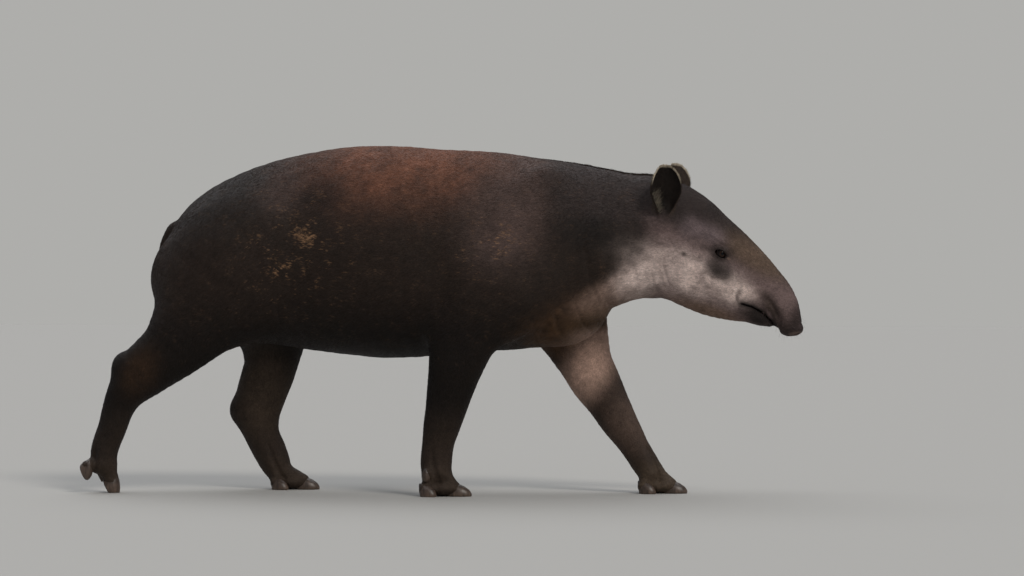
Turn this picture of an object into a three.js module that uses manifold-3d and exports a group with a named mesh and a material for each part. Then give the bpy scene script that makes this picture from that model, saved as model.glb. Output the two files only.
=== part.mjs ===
// A life-size Baird's tapir, adult, walking. Millimetres, +X towards the head, +Y to the animal's left, +Z up.
// The body is one smooth form: limbs (chains of round sections along a bent line) and muscles (ellipsoids),
// fused with fillets. Each part of the body is meshed from it on a grid of its own, and thin flat cuts part
// it from the next. Ears, eyes and hooves are shaped by themselves.
import * as THREE from "three";
import { mergeVertices } from "three/addons/utils/BufferGeometryUtils.js";
import Module from "manifold-3d";

const wasm = await Module();
wasm.setup();

// Driving dimensions. The tables below draw the animal with its back at the drawn height, and the whole is
// scaled to its real height at the end.
const BACK_HEIGHT = 1060;
const DRAWN_BACK_HEIGHT = 1139;
const GAP = 0.32;
const FLOOR_CLEARANCE = 3;
const FUSE_LEG = 46;
const FUSE_FACE = 30;
const FUSE_LIP = 16;
const FUSE_TOE = 14;
const TRUNK_LEAN = 0.1;
const FACE_LEAN = 0.05;

const EYE_RADIUS = 17;
const EYE_CENTRE = [925, 74, 783];
const LID_HALF = [29, 18, 24];
const LID_OUT = 3;
const EYE_SLIT = [17, 9.5];
const EYE_SLANT = -28;

const EARS = {
  left: { root: [738, 98, 900], length: 180 },
  right: { root: [738, -98, 893], length: 176 },
};
const EAR_ARC = 64;
const EAR_ROOT_ARC = 40;
const EAR_ROOT_RADIUS = 16;
const EAR_THICKNESS = 9;
const EAR_UP = [0.1, 0.2, 0.97];
const EAR_OPENS = [0.45, 0.89, 0.05];

const NECK_CUT = { at: [510, 828], tilt: -18 };
const HEAD_CUT = { at: [718, 835], tilt: -8 };
const MOUTH_SLIT = 4;
const MOUTH_LINE = [
  [989, 622], // corner of the mouth
  [1022, 612],
  [1054, 593],
  [1080, 567],
  [1099, 542],
  [1106, 500], // open air behind the proboscis
];
const NOSTRIL = { at: [1163, 15, 523], half: [11, 6.5, 10] };

// Rings of a hoof from the sole up: height, size and lean back, as shares of the hoof's height and size.
const HOOF_RINGS = [
  { up: 0, share: 0.95, back: 0 },
  { up: 0.2, share: 1, back: 0.02 },
  { up: 0.5, share: 0.92, back: 0.12 },
  { up: 0.78, share: 0.72, back: 0.3 },
  { up: 1, share: 0.4, back: 0.5 },
];

// Stations of a limb: x, y, z of its middle, its half depth, and its half width as a share of that.
const TRUNK = [
  [-760, 0, 735, 190, 0.74], // rump
  [-665, 0, 766, 256, 0.76],
  [-520, 0, 784, 304, 0.76], // croup
  [-340, 0, 793, 337, 0.75],
  [-180, 0, 790, 349, 0.75], // deepest part of the belly
  [-20, 0, 788, 338, 0.73],
  [150, 0, 790, 327, 0.7], // withers
  [300, 0, 790, 306, 0.66],
  [420, 0, 823, 255, 0.69], // chest
  [540, 0, 833, 222, 0.65],
  [620, 0, 838, 203, 0.64], // throat
  [690, 0, 838, 192, 0.63],
];
const FACE = [
  [690, 0, 838, 192, 0.63], // nape
  [760, 0, 820, 181, 0.61],
  [823, 0, 783, 165, 0.6], // cheek
  [899, 0, 739, 146, 0.61], // eye
  [977, 0, 696, 119, 0.58],
  [1036, 0, 677, 86, 0.62], // mouth
  [1083, 0, 648, 67, 0.7],
  [1113, 0, 614, 55, 0.8], // proboscis
  [1131, 0, 578, 45, 0.9],
  [1141, 0, 556, 38, 1],
];
const JAW = [
  [800, 0, 722, 102, 0.85],
  [880, 0, 655, 72, 0.8],
  [955, 0, 612, 45, 0.95],
  [1000, 0, 593, 31, 1.2],
  [1040, 0, 577, 26, 1.2], // chin
  [1071, 0, 565, 18, 1.4], // lower lip
];
const UPPER_LIP = [
  [975, 0, 646, 40, 1],
  [1020, 0, 637, 34, 1.1],
  [1058, 0, 616, 28, 1.2],
  [1086, 0, 588, 21, 1.3],
  [1100, 0, 566, 15, 1.3],
];
const TAIL = [
  [-898, 0, 862, 31, 0.9],
  [-922, 0, 832, 25, 0.9],
  [-939, 0, 796, 19, 0.9],
  [-946, 0, 764, 11, 0.9],
];

// Muscles: middle, half sizes, tilt about Y in degrees (front up), fillet, and if they come as a pair.
const BODY_MUSCLES = [
  { at: [-660, 130, 728], half: [215, 118, 236], tilt: -15, fillet: 95, pair: true }, // haunch
  { at: [-846, 100, 692], half: [108, 84, 140], tilt: 8, fillet: 50, pair: true }, // buttock
  { at: [330, 108, 850], half: [125, 72, 210], tilt: -18, fillet: 90, pair: true }, // shoulder blade
  { at: [225, 140, 650], half: [165, 80, 130], tilt: 25, fillet: 80, pair: true }, // upper arm
  { at: [390, 0, 612], half: [150, 116, 128], tilt: -10, fillet: 40, pair: false }, // brisket
  { at: [-1036, -156, 418], half: [30, 30, 36], tilt: 0, fillet: 26, pair: false }, // right heel
  { at: [-716, 152, 262], half: [31, 28, 34], tilt: 0, fillet: 26, pair: false }, // left heel
];
const HEAD_MUSCLES = [
  { at: [808, 66, 738], half: [92, 42, 84], tilt: -25, fillet: 45, pair: true }, // cheek
  { at: [903, 60, 817], half: [46, 24, 20], tilt: -38, fillet: 22, pair: true }, // brow
  { at: [893, 68, 742], half: [72, 22, 18], tilt: -22, fillet: 24, pair: true }, // cheekbone
  { at: [738, 90, 884], half: [36, 30, 34], tilt: 0, fillet: 24, pair: true }, // root of the ear
  { at: [1163, 0, 538], half: [19, 31, 15], tilt: 20, fillet: 14, pair: false }, // rim of the nose
  { at: [1131, 0, 535], half: [23, 28, 14], tilt: 0, fillet: 12, pair: false }, // back of the rim
];

// A leg runs from inside the trunk to the fetlock. Its cut lies across it, turned through a tilt about Y,
// and reaches so far back and forward. A pad of flesh lies between the toes. A toe is placed by the middle
// of its sole.
const LEGS = {
  hind_right: {
    stations: [
      [-690, -150, 700, 195, 0.55],
      [-782, -160, 576, 146, 0.6], // thigh
      [-863, -165, 478, 108, 0.72],
      [-960, -160, 400, 89, 0.75],
      [-1020, -152, 336, 67, 0.8], // hock
      [-1050, -148, 283, 55, 0.82],
      [-1073, -146, 215, 49, 0.86],
      [-1098, -144, 148, 47, 0.95],
      [-1103, -143, 105, 42, 1.1], // fetlock
    ],
    cut: { at: [-850, 500], tilt: 42, back: 330, front: 330 },
    pad: { at: [-1106, -143, 88], half: [42, 44, 32] },
    toes: {
      middle: { at: [-1088, -143, 12], pitch: 60, turn: 0, long: 78, wide: 54, high: 46 },
      outer: { at: [-1162, -178, 70], pitch: 68, turn: -12, long: 58, wide: 42, high: 38 },
      inner: { at: [-1134, -108, 58], pitch: 64, turn: 12, long: 56, wide: 42, high: 38 },
    },
  },
  hind_left: {
    stations: [
      [-620, 150, 660, 190, 0.58],
      [-608, 160, 540, 126, 0.65], // thigh
      [-612, 160, 430, 94, 0.78],
      [-627, 157, 372, 89, 0.75],
      [-648, 152, 305, 84, 0.72],
      [-657, 148, 250, 78, 0.72], // hock
      [-643, 146, 190, 62, 0.8],
      [-618, 144, 135, 57, 0.86],
      [-596, 142, 90, 51, 1],
      [-583, 141, 62, 42, 1.15], // fetlock
    ],
    cut: { at: [-600, 458], tilt: 0, back: 170, front: 190 },
    pad: { at: [-540, 142, 24], half: [58, 44, 24] },
    toes: {
      middle: { at: [-488, 141, 0], pitch: 0, turn: 0, long: 84, wide: 56, high: 42 },
      outer: { at: [-556, 186, 0], pitch: 0, turn: 18, long: 62, wide: 42, high: 40 },
      inner: { at: [-570, 99, 0], pitch: 0, turn: -18, long: 62, wide: 42, high: 40 },
    },
  },
  front_right: {
    stations: [
      [170, -150, 680, 180, 0.5],
      [108, -158, 540, 121, 0.62], // elbow
      [80, -158, 440, 94, 0.72],
      [62, -152, 370, 81, 0.78],
      [45, -147, 300, 71, 0.8],
      [28, -143, 235, 62, 0.85], // wrist
      [15, -140, 175, 54, 0.88],
      [8, -138, 120, 52, 0.92],
      [8, -137, 75, 50, 1.05], // fetlock
    ],
    cut: { at: [90, 452], tilt: 0, back: 150, front: 150 },
    pad: { at: [25, -140, 24], half: [62, 46, 24] },
    toes: {
      middle: { at: [78, -138, 0], pitch: 0, turn: 0, long: 86, wide: 56, high: 42 },
      outer: { at: [-12, -182, 0], pitch: 0, turn: -24, long: 60, wide: 43, high: 42 },
      inner: { at: [28, -94, 0], pitch: 0, turn: 16, long: 62, wide: 43, high: 42 },
      small: { at: [-20, -176, 64], pitch: 60, turn: -60, long: 40, wide: 28, high: 24 },
    },
  },
  front_left: {
    stations: [
      [330, 140, 680, 180, 0.5],
      [395, 152, 560, 128, 0.62], // elbow
      [445, 155, 440, 92, 0.72],
      [480, 152, 370, 84, 0.75],
      [524, 147, 300, 71, 0.8],
      [565, 144, 230, 60, 0.86], // wrist
      [608, 141, 165, 50, 0.92],
      [643, 139, 110, 46, 1],
      [668, 138, 70, 42, 1.2], // fetlock
    ],
    cut: { at: [430, 470], tilt: -24, back: 150, front: 150 },
    pad: { at: [698, 140, 24], half: [60, 46, 24] },
    toes: {
      middle: { at: [744, 138, 0], pitch: 0, turn: 0, long: 86, wide: 56, high: 42 },
      outer: { at: [680, 184, 0], pitch: 0, turn: 20, long: 60, wide: 43, high: 42 },
      inner: { at: [662, 94, 0], pitch: 0, turn: -20, long: 60, wide: 43, high: 42 },
      small: { at: [640, 176, 62], pitch: 60, turn: 60, long: 40, wide: 28, high: 24 },
    },
  },
};

// Hides, horn and eye
const finish = (color, roughness) => new THREE.MeshStandardMaterial({ color, roughness, metalness: 0 });
const DARK_COAT = finish(0x2e2422, 0.8);
const PALE_COAT = finish(0x75675f, 0.8);
const HORN = finish(0x4a403a, 0.55);
const EYE_GLOSS = finish(0x120c0a, 0.1);

// A Catmull-Rom curve through the stations, with a few steps between two of them.
function refined(stations, steps = 4) {
  const last = stations.length - 1;
  const beyond = (end, next) => end.map((v, i) => 2 * v - next[i]);
  const p = [
    beyond(stations[0], stations[1]),
    ...stations,
    beyond(stations[last], stations[last - 1]),
  ];
  const along = (a, b, c, d, t) =>
    0.5 * (2 * b + (c - a) * t + (2 * a - 5 * b + 4 * c - d) * t * t + (3 * b - a - 3 * c + d) * t ** 3);
  const out = [];
  for (let i = 1; i <= last; i++)
    for (let k = 0; k < steps; k++)
      out.push(p[i].map((v, c) => along(p[i - 1][c], v, p[i + 1][c], p[i + 2][c], k / steps)));
  out.push(stations[last]);
  return out;
}

// The field of a limb: a rough distance to it, negative inside. lean widens it below its middle.
function limb(stations, lean = 0) {
  const s = refined(stations);
  const lengths = s.slice(1).map((b, i) => {
    const a = s[i];
    const width = 0.5 * (a[4] + b[4]);
    const step = [b[0] - a[0], b[1] - a[1], b[2] - a[2]];
    const along = [step[0], step[1] / width ** 2, step[2]];
    const square = along[0] * step[0] + along[1] * step[1] + along[2] * step[2];
    return { a, b, step, along, square };
  });
  return (x, y, z) => {
    let best = 1e3;
    for (const { a, b, step, along, square } of lengths) {
      const dot = (x - a[0]) * along[0] + (y - a[1]) * along[1] + (z - a[2]) * along[2];
      const h = Math.min(1, Math.max(0, dot / square));
      const r = a[3] + h * (b[3] - a[3]);
      const dz = z - a[2] - h * step[2];
      const sag = 1 - lean * Math.min(1, Math.max(-1, dz / r));
      const wide = (a[4] + h * (b[4] - a[4])) * sag;
      const away = Math.hypot(x - a[0] - h * step[0], (y - a[1] - h * step[1]) / wide, dz);
      best = Math.min(best, away - r);
    }
    return best;
  };
}

// The field of a muscle.
function muscle([cx, cy, cz], [rx, ry, rz], tilt) {
  const angle = THREE.MathUtils.degToRad(tilt);
  const c = Math.cos(angle);
  const s = Math.sin(angle);
  return (x, y, z) => {
    const u = (x - cx) * c + (z - cz) * s;
    const v = y - cy;
    const w = (z - cz) * c - (x - cx) * s;
    const k0 = Math.hypot(u / rx, v / ry, w / rz);
    const k1 = Math.hypot(u / rx ** 2, v / ry ** 2, w / rz ** 2);
    return (k0 * (k0 - 1)) / Math.max(k1, 1e-9);
  };
}

// Joins two fields with a round fillet.
function fuse(a, b, fillet) {
  const h = Math.max(fillet - Math.abs(a - b), 0) / fillet;
  return Math.min(a, b) - (h * h * fillet) / 4;
}

function muscles(table) {
  return table.flatMap(({ at, half, tilt, fillet, pair }) =>
    (pair ? [1, -1] : [1]).map((side) => ({
      field: muscle([at[0], side * at[1], at[2]], half, tilt),
      fillet,
    })),
  );
}

const trunkField = limb(TRUNK, TRUNK_LEAN);
const faceField = limb(FACE, FACE_LEAN);
const jawField = limb(JAW);
const lipField = limb(UPPER_LIP);
const tailField = limb(TAIL);
const legFields = Object.values(LEGS).map(({ stations }) => limb(stations));
const bodyMuscles = muscles(BODY_MUSCLES);
const headMuscles = muscles(HEAD_MUSCLES);
const HEAD_START = 560;

function body(x, y, z) {
  let f = trunkField(x, y, z);
  for (const { field, fillet } of bodyMuscles) f = fuse(f, field(x, y, z), fillet);
  for (const leg of legFields) f = fuse(f, leg(x, y, z), FUSE_LEG);
  if (x < HEAD_START) return f;
  let head = fuse(faceField(x, y, z), lipField(x, y, z), FUSE_LIP);
  head = fuse(head, jawField(x, y, z), FUSE_LIP);
  f = fuse(f, head, FUSE_FACE);
  for (const { field, fillet } of headMuscles) f = fuse(f, field(x, y, z), fillet);
  return f;
}

// A place on a toe, from the middle of its sole, in the room.
function onToe({ at, pitch, turn }, x, z) {
  return new THREE.Vector3(x, 0, z)
    .applyAxisAngle(new THREE.Vector3(0, 1, 0), THREE.MathUtils.degToRad(pitch))
    .applyAxisAngle(new THREE.Vector3(0, 0, 1), THREE.MathUtils.degToRad(turn))
    .add(new THREE.Vector3(...at))
    .toArray();
}

// A toe's flesh runs from the fetlock into the back and top of its hoof.
function toeFlesh(stations, toe) {
  const fetlock = stations[stations.length - 1];
  const radius = 0.46 * toe.wide;
  const end = onToe(toe, -0.2 * toe.long, 0.5 * toe.high);
  const near = [0, 1].map((i) => fetlock[i] + 0.15 * (end[i] - fetlock[i]));
  return limb([
    [...near, fetlock[2] - 4, 1.3 * radius, 1],
    [end[0], end[1], Math.max(end[2], radius + FLOOR_CLEARANCE), radius, 1],
  ]);
}

const TOES_BELOW = 230;
function withToes({ stations, pad, toes }) {
  const flesh = [muscle(pad.at, pad.half, 0), ...Object.values(toes).map((toe) => toeFlesh(stations, toe))];
  return (x, y, z) => {
    const f = body(x, y, z);
    if (z > TOES_BELOW) return f;
    return flesh.reduce((sum, form) => fuse(sum, form(x, y, z), FUSE_TOE), f);
  };
}

// Grid lines from a start past an end.
function lines(start, end, step) {
  return Array.from({ length: Math.ceil((end - start) / step) + 1 }, (_, i) => start + i * step);
}

// Surface nets: one vertex in each cell that the surface crosses, and one face across each such grid edge.
function net(field, xs, ys, zs) {
  const grid = [xs, ys, zs];
  const id = ([i, j, k]) => (i * ys.length + j) * zs.length + k;
  const moved = (n, axis, by) => n.map((m, c) => (c === axis ? m + by : m));
  const places = (short) => {
    const out = [];
    for (let i = 0; i < xs.length - short; i++)
      for (let j = 0; j < ys.length - short; j++)
        for (let k = 0; k < zs.length - short; k++) out.push([i, j, k]);
    return out;
  };
  const value = new Float64Array(xs.length * ys.length * zs.length);
  for (const n of places(0)) {
    const rim = n.some((m, c) => m === 0 || m === grid[c].length - 1);
    const f = field(...n.map((m, c) => grid[c][m]));
    value[id(n)] = rim ? Math.max(f, 1) : f;
  }
  // Where only opposite corners of a grid square are inside, the net would cross itself, so a third joins them.
  for (let pass = 0; pass < 2; pass++)
    for (const a of places(1))
      for (let axis = 0; axis < 3; axis++) {
        const b = moved(a, (axis + 1) % 3, 1);
        const c = moved(a, (axis + 2) % 3, 1);
        const square = [a, b, moved(b, (axis + 2) % 3, 1), c].map(id);
        const [va, vb, vd, vc] = square.map((n) => value[n] < 0);
        if (va !== vd || vb !== vc || va === vb) continue;
        value[va ? square[1] : square[0]] = -0.1;
      }
  const positions = [];
  const vertex = new Map();
  for (const cell of places(1)) {
    const sum = new THREE.Vector3();
    let crossings = 0;
    for (let axis = 0; axis < 3; axis++)
      for (let corner = 0; corner < 4; corner++) {
        const a = moved(moved(cell, (axis + 1) % 3, corner & 1), (axis + 2) % 3, corner >> 1);
        const b = moved(a, axis, 1);
        const [fa, fb] = [value[id(a)], value[id(b)]];
        if (fa < 0 === fb < 0) continue;
        const t = fa / (fa - fb);
        sum.add(new THREE.Vector3(...a.map((m, c) => grid[c][m] + t * (grid[c][b[c]] - grid[c][m]))));
        crossings++;
      }
    if (crossings === 0) continue;
    vertex.set(id(cell), positions.length / 3);
    const low = cell.map((m, c) => grid[c][m]);
    const high = cell.map((m, c) => grid[c][m + 1]);
    positions.push(...drawn(field, sum.divideScalar(crossings).toArray(), low, high));
  }
  const triangles = [];
  const point = (n) => new THREE.Vector3().fromArray(positions, 3 * n);
  for (const a of places(1))
    for (let axis = 0; axis < 3; axis++) {
      const inside = value[id(a)] < 0;
      if (inside === value[id(moved(a, axis, 1))] < 0) continue;
      const around = [
        [1, 1],
        [0, 1],
        [0, 0],
        [1, 0],
      ];
      let q = around.map(([m, n]) => vertex.get(id(moved(moved(a, (axis + 1) % 3, -m), (axis + 2) % 3, -n))));
      if (!inside) q.reverse();
      const p = q.map(point);
      if (p[0].distanceTo(p[2]) > p[1].distanceTo(p[3])) q = [q[1], q[2], q[3], q[0]];
      triangles.push(q[0], q[1], q[2], q[0], q[2], q[3]);
    }
  return indexed(positions, triangles);
}

// Moves a point onto the surface along the field's slope, but never out of its own cell.
function drawn(field, start, low, high) {
  const p = [...start];
  for (let round = 0; round < 3; round++) {
    const f = field(...p);
    const slope = [0, 1, 2].map((c) => field(...p.map((v, i) => (i === c ? v + 1 : v))) - f);
    const steep = Math.max(0.05, slope[0] ** 2 + slope[1] ** 2 + slope[2] ** 2);
    for (let c = 0; c < 3; c++) {
      const margin = 0.05 * (high[c] - low[c]);
      p[c] = Math.min(high[c] - margin, Math.max(low[c] + margin, p[c] - (f * slope[c]) / steep));
    }
  }
  return p;
}

function indexed(positions, triangles) {
  return new THREE.BufferGeometry()
    .setAttribute("position", new THREE.Float32BufferAttribute(positions, 3))
    .setIndex(triangles);
}

function solid(geometry) {
  const bare = new THREE.BufferGeometry()
    .setAttribute("position", geometry.getAttribute("position"))
    .setIndex(geometry.index);
  const merged = mergeVertices(bare, 1e-4);
  const vertProperties = merged.attributes.position.array;
  const triVerts = new Uint32Array(merged.index.array);
  return new wasm.Manifold(new wasm.Mesh({ numProp: 3, vertProperties, triVerts }));
}

// Everything forward of a plane across the body, that leans through its tilt about Y.
function forwardOf({ at, tilt }, shift) {
  const geometry = new THREE.BoxGeometry(1600, 1000, 2400);
  geometry.translate(800, 0, 0);
  geometry.rotateY(THREE.MathUtils.degToRad(tilt));
  geometry.translate(at[0] + shift, 0, at[1]);
  return solid(geometry);
}

// An outline in the XZ plane, drawn out across the whole body.
function prism(outline) {
  const shape = new THREE.Shape(outline.map(([x, z]) => new THREE.Vector2(x, z)));
  const geometry = new THREE.ExtrudeGeometry(shape, { depth: 600, bevelEnabled: false });
  geometry.rotateX(Math.PI / 2);
  geometry.translate(0, 300, 0);
  return solid(geometry);
}

function ball(centre, half, columns = 14, rows = 10) {
  const geometry = new THREE.SphereGeometry(1, columns, rows);
  geometry.scale(...half);
  geometry.translate(...centre);
  return solid(geometry);
}

// The space below a leg's cut, on its own side of the body.
function legSpace({ stations, cut }, raise) {
  const side = Math.sign(stations[0][1]);
  const [inner, outer, depth] = [20, 360, 700];
  const geometry = new THREE.BoxGeometry(cut.back + cut.front, outer - inner, depth);
  geometry.translate(0.5 * (cut.front - cut.back), 0.5 * side * (outer + inner), -0.5 * depth + raise);
  geometry.rotateY(THREE.MathUtils.degToRad(cut.tilt));
  geometry.translate(cut.at[0], 0, cut.at[1]);
  return solid(geometry);
}

// A hoof: oval rings from the sole up to the hair, with the toe's long side forward.
function hoof({ at, pitch, turn, long, wide, high }, grow) {
  const around = 10;
  const last = HOOF_RINGS.length - 1;
  const rings = HOOF_RINGS.map(({ up, share, back }, r) => {
    const past = r === 0 ? -grow : r === last ? grow : 0;
    return { up: up * high + past, share, back };
  });
  const positions = rings.flatMap(({ up, share, back }) =>
    Array.from({ length: around }, (_, i) => {
      const angle = (2 * Math.PI * i) / around;
      const reach = Math.cos(angle) > 0 ? 0.55 : 0.45;
      return [
        Math.cos(angle) * (reach * long * share + grow) - back * high,
        Math.sin(angle) * (0.5 * wide * share + grow),
        up,
      ];
    }).flat(),
  );
  const triangles = [];
  for (let r = 0; r < rings.length - 1; r++)
    for (let i = 0; i < around; i++) {
      const [a, b] = [r * around + i, r * around + ((i + 1) % around)];
      triangles.push(a, b, b + around, a, b + around, a + around);
    }
  const top = (rings.length - 1) * around;
  for (let i = 1; i < around - 1; i++) triangles.push(0, i + 1, i, top, top + i, top + i + 1);
  const geometry = indexed(positions, triangles);
  geometry.rotateY(THREE.MathUtils.degToRad(pitch));
  geometry.rotateZ(THREE.MathUtils.degToRad(turn));
  geometry.translate(...at);
  return solid(geometry);
}

function above(height) {
  const geometry = new THREE.BoxGeometry(3000, 1000, 1600);
  geometry.translate(0, 0, 800 + height);
  return solid(geometry);
}

// An ear: a strip rolled into a cup, nearly a tube at its root and open above, with a round tip.
// u runs across it from -1 to 1 and v up it from 0 to 1.
function ear({ root, length }) {
  const side = Math.sign(root[1]);
  const start = new THREE.Vector3(...root);
  const up = new THREE.Vector3(EAR_UP[0], side * EAR_UP[1], EAR_UP[2]).normalize();
  const opens = new THREE.Vector3(EAR_OPENS[0], side * EAR_OPENS[1], EAR_OPENS[2]);
  const across = new THREE.Vector3().crossVectors(opens, up).normalize();
  opens.crossVectors(up, across);
  const widest = 0.58;
  const point = (u, v, layer) => {
    const rise = THREE.MathUtils.smoothstep(v, 0, widest);
    const taper = Math.sqrt(1 - Math.max(0, (v - widest) / (1 - widest)) ** 2);
    const arc = (EAR_ROOT_ARC + (EAR_ARC - EAR_ROOT_ARC) * rise) * taper;
    const bend = 1.15 + 1.35 * (1 - Math.min(1, v / 0.5)) ** 1.5;
    const thickness = EAR_THICKNESS * (1 - 0.45 * v) * (1 - 0.2 * u * u);
    const curve = arc / bend;
    const radius = curve + 0.5 * layer * thickness;
    return start
      .clone()
      .addScaledVector(up, v * length)
      .addScaledVector(across, radius * Math.sin(u * bend))
      .addScaledVector(opens, curve - radius * Math.cos(u * bend) - EAR_ROOT_RADIUS);
  };
  const [columns, rows] = [8, 11];
  const positions = [];
  for (const layer of [1, -1])
    for (let r = 0; r <= rows; r++)
      for (let c = 0; c <= columns; c++)
        positions.push(...point((2 * c) / columns - 1, (0.985 * r) / rows, layer).toArray());
  const back = (r, c) => r * (columns + 1) + c;
  const cup = (r, c) => (rows + 1) * (columns + 1) + back(r, c);
  const triangles = [];
  const quad = (a, b, c, d) => triangles.push(a, b, c, a, c, d);
  for (let r = 0; r < rows; r++)
    for (let c = 0; c < columns; c++) {
      quad(back(r, c), back(r, c + 1), back(r + 1, c + 1), back(r + 1, c));
      quad(cup(r, c), cup(r + 1, c), cup(r + 1, c + 1), cup(r, c + 1));
    }
  for (let r = 0; r < rows; r++) {
    quad(back(r, 0), back(r + 1, 0), cup(r + 1, 0), cup(r, 0));
    quad(back(r, columns), cup(r, columns), cup(r + 1, columns), back(r + 1, columns));
  }
  for (let c = 0; c < columns; c++) {
    quad(back(0, c), cup(0, c), cup(0, c + 1), back(0, c + 1));
    quad(back(rows, c), back(rows, c + 1), cup(rows, c + 1), cup(rows, c));
  }
  return solid(indexed(positions, triangles));
}

// The opening between the lids: an almond, slanted down towards the nose, drawn out to one side.
function lidOpening(side) {
  const slant = THREE.MathUtils.degToRad(EYE_SLANT);
  const outline = Array.from({ length: 14 }, (_, i) => {
    const angle = (2 * Math.PI * i) / 14;
    const along = EYE_SLIT[0] * Math.cos(angle);
    const across = EYE_SLIT[1] * Math.sin(angle) * (1 - 0.25 * Math.cos(angle) ** 2);
    const x = along * Math.cos(slant) - across * Math.sin(slant);
    const z = along * Math.sin(slant) + across * Math.cos(slant);
    return [EYE_CENTRE[0] + x, EYE_CENTRE[2] + z];
  });
  const geometry = new THREE.BoxGeometry(400, 100, 400);
  geometry.translate(EYE_CENTRE[0], side * (EYE_CENTRE[1] + 50), EYE_CENTRE[2]);
  return prism(outline).intersect(solid(geometry));
}

// The line of the mouth: a thin curved slit right through the muzzle.
function mouthSlit() {
  const edge = (share) =>
    MOUTH_LINE.map(([x, z], i) => {
      const a = MOUTH_LINE[Math.max(0, i - 1)];
      const b = MOUTH_LINE[Math.min(MOUTH_LINE.length - 1, i + 1)];
      const length = Math.hypot(b[0] - a[0], b[1] - a[1]);
      const reach = 0.5 * MOUTH_SLIT * share;
      return [x + (reach * (a[1] - b[1])) / length, z + (reach * (b[0] - a[0])) / length];
    });
  return prism([...edge(-1), ...edge(1).reverse()]);
}

// The muzzle above the line of the mouth, forward of its corner.
function snoutSpace(shift) {
  const corner = MOUTH_LINE[0];
  const outline = [
    [corner[0] + shift, 900],
    [corner[0] + shift, corner[1]],
    ...MOUTH_LINE.slice(1),
    [1106, 400],
    [1300, 400],
    [1300, 900],
  ];
  return prism(outline);
}

const group = new THREE.Group();

// Keeps the largest closed surface of a solid, and adds it as a named mesh.
function add(name, material, made) {
  const largest = made.decompose().reduce((a, b) => (a.volume() > b.volume() ? a : b));
  const { vertProperties, triVerts } = largest.getMesh();
  const geometry = new THREE.BufferGeometry()
    .setAttribute("position", new THREE.BufferAttribute(vertProperties, 3))
    .setIndex(new THREE.BufferAttribute(triVerts, 1));
  const mesh = new THREE.Mesh(geometry, material.clone());
  mesh.name = name;
  group.add(mesh);
}

const sides = { left: 1, right: -1 };
const half = 0.5 * GAP;

// Torso
let torso = solid(net(body, lines(-1040, 680, 64), lines(-330, 330, 60), lines(385, 1190, 57)));
torso = torso.subtract(forwardOf(NECK_CUT, -half));
for (const leg of Object.values(LEGS)) torso = torso.subtract(legSpace(leg, half));
add("torso", DARK_COAT, torso);

// Tail
const tail = solid(net(tailField, lines(-1000, -870, 13), lines(-45, 45, 13), lines(740, 930, 18)));
add("tail", DARK_COAT, tail.subtract(torso.translate(-GAP, 0, 0)));

// Neck
const neck = solid(net(body, lines(340, 800, 42), lines(-240, 240, 40), lines(500, 1160, 42)));
add("neck", DARK_COAT, neck.intersect(forwardOf(NECK_CUT, half)).subtract(forwardOf(HEAD_CUT, -half)));

// Head
let head = solid(net(body, lines(640, 1130, 19), lines(-190, 190, 19), lines(520, 1090, 19)));
head = head.intersect(forwardOf(HEAD_CUT, half)).subtract(snoutSpace(-half)).subtract(mouthSlit());
for (const side of Object.values(sides)) {
  const eye = [EYE_CENTRE[0], side * EYE_CENTRE[1], EYE_CENTRE[2]];
  head = head.add(ball([eye[0], side * (EYE_CENTRE[1] + LID_OUT), eye[2]], LID_HALF));
  head = head.subtract(ball(eye, [1, 1, 1].map((v) => v * (EYE_RADIUS + GAP))));
  head = head.subtract(lidOpening(side));
}
add("head", PALE_COAT, head);

// Snout
let snout = solid(net(body, lines(950, 1220, 15), lines(-97.5, 97.5, 15), lines(480, 900, 15)));
snout = snout.intersect(snoutSpace(half)).subtract(mouthSlit());
for (const side of Object.values(sides)) {
  const [x, y, z] = NOSTRIL.at;
  snout = snout.subtract(ball([x, side * y, z], NOSTRIL.half, 10, 6));
}
add("snout", DARK_COAT, snout);

// Eyes and ears
for (const [name, side] of Object.entries(sides)) {
  const eye = ball([EYE_CENTRE[0], side * EYE_CENTRE[1], EYE_CENTRE[2]], [EYE_RADIUS, EYE_RADIUS, EYE_RADIUS]);
  add(`eye_${name}`, EYE_GLOSS, eye);
  add(`ear_${name}`, DARK_COAT, ear(EARS[name]).subtract(head.translate(0, side * GAP, GAP)));
}

// Legs and hooves
for (const [name, leg] of Object.entries(LEGS)) {
  const xs = leg.stations.map((s) => s[0]);
  const side = Math.sign(leg.stations[0][1]);
  const reach = [Math.min(...xs.slice(2)) - 135, Math.max(...xs.slice(2)) + 165];
  const across = side > 0 ? lines(0, 300, 21) : lines(-300, 0, 21);
  const heights = [...lines(-14, 150, 17), ...lines(186, 680, 46)];
  let flesh = solid(net(withToes(leg), lines(...reach, 24), across, heights));
  flesh = flesh.intersect(legSpace(leg, -half)).intersect(above(FLOOR_CLEARANCE));
  for (const [toe, sizes] of Object.entries(leg.toes)) {
    flesh = flesh.subtract(hoof(sizes, GAP));
    add(`hoof_${name}_${toe}`, HORN, hoof(sizes, 0).intersect(above(0)));
  }
  add(`leg_${name}`, DARK_COAT, flesh);
}

// The origin is on the floor, below the middle of the whole animal.
group.scale.setScalar(BACK_HEIGHT / DRAWN_BACK_HEIGHT);
const box = new THREE.Box3().setFromObject(group);
const middle = box.getCenter(new THREE.Vector3());
group.position.set(-middle.x, -middle.y, -box.min.z);
group.updateMatrixWorld(true);

export default group;
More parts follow.
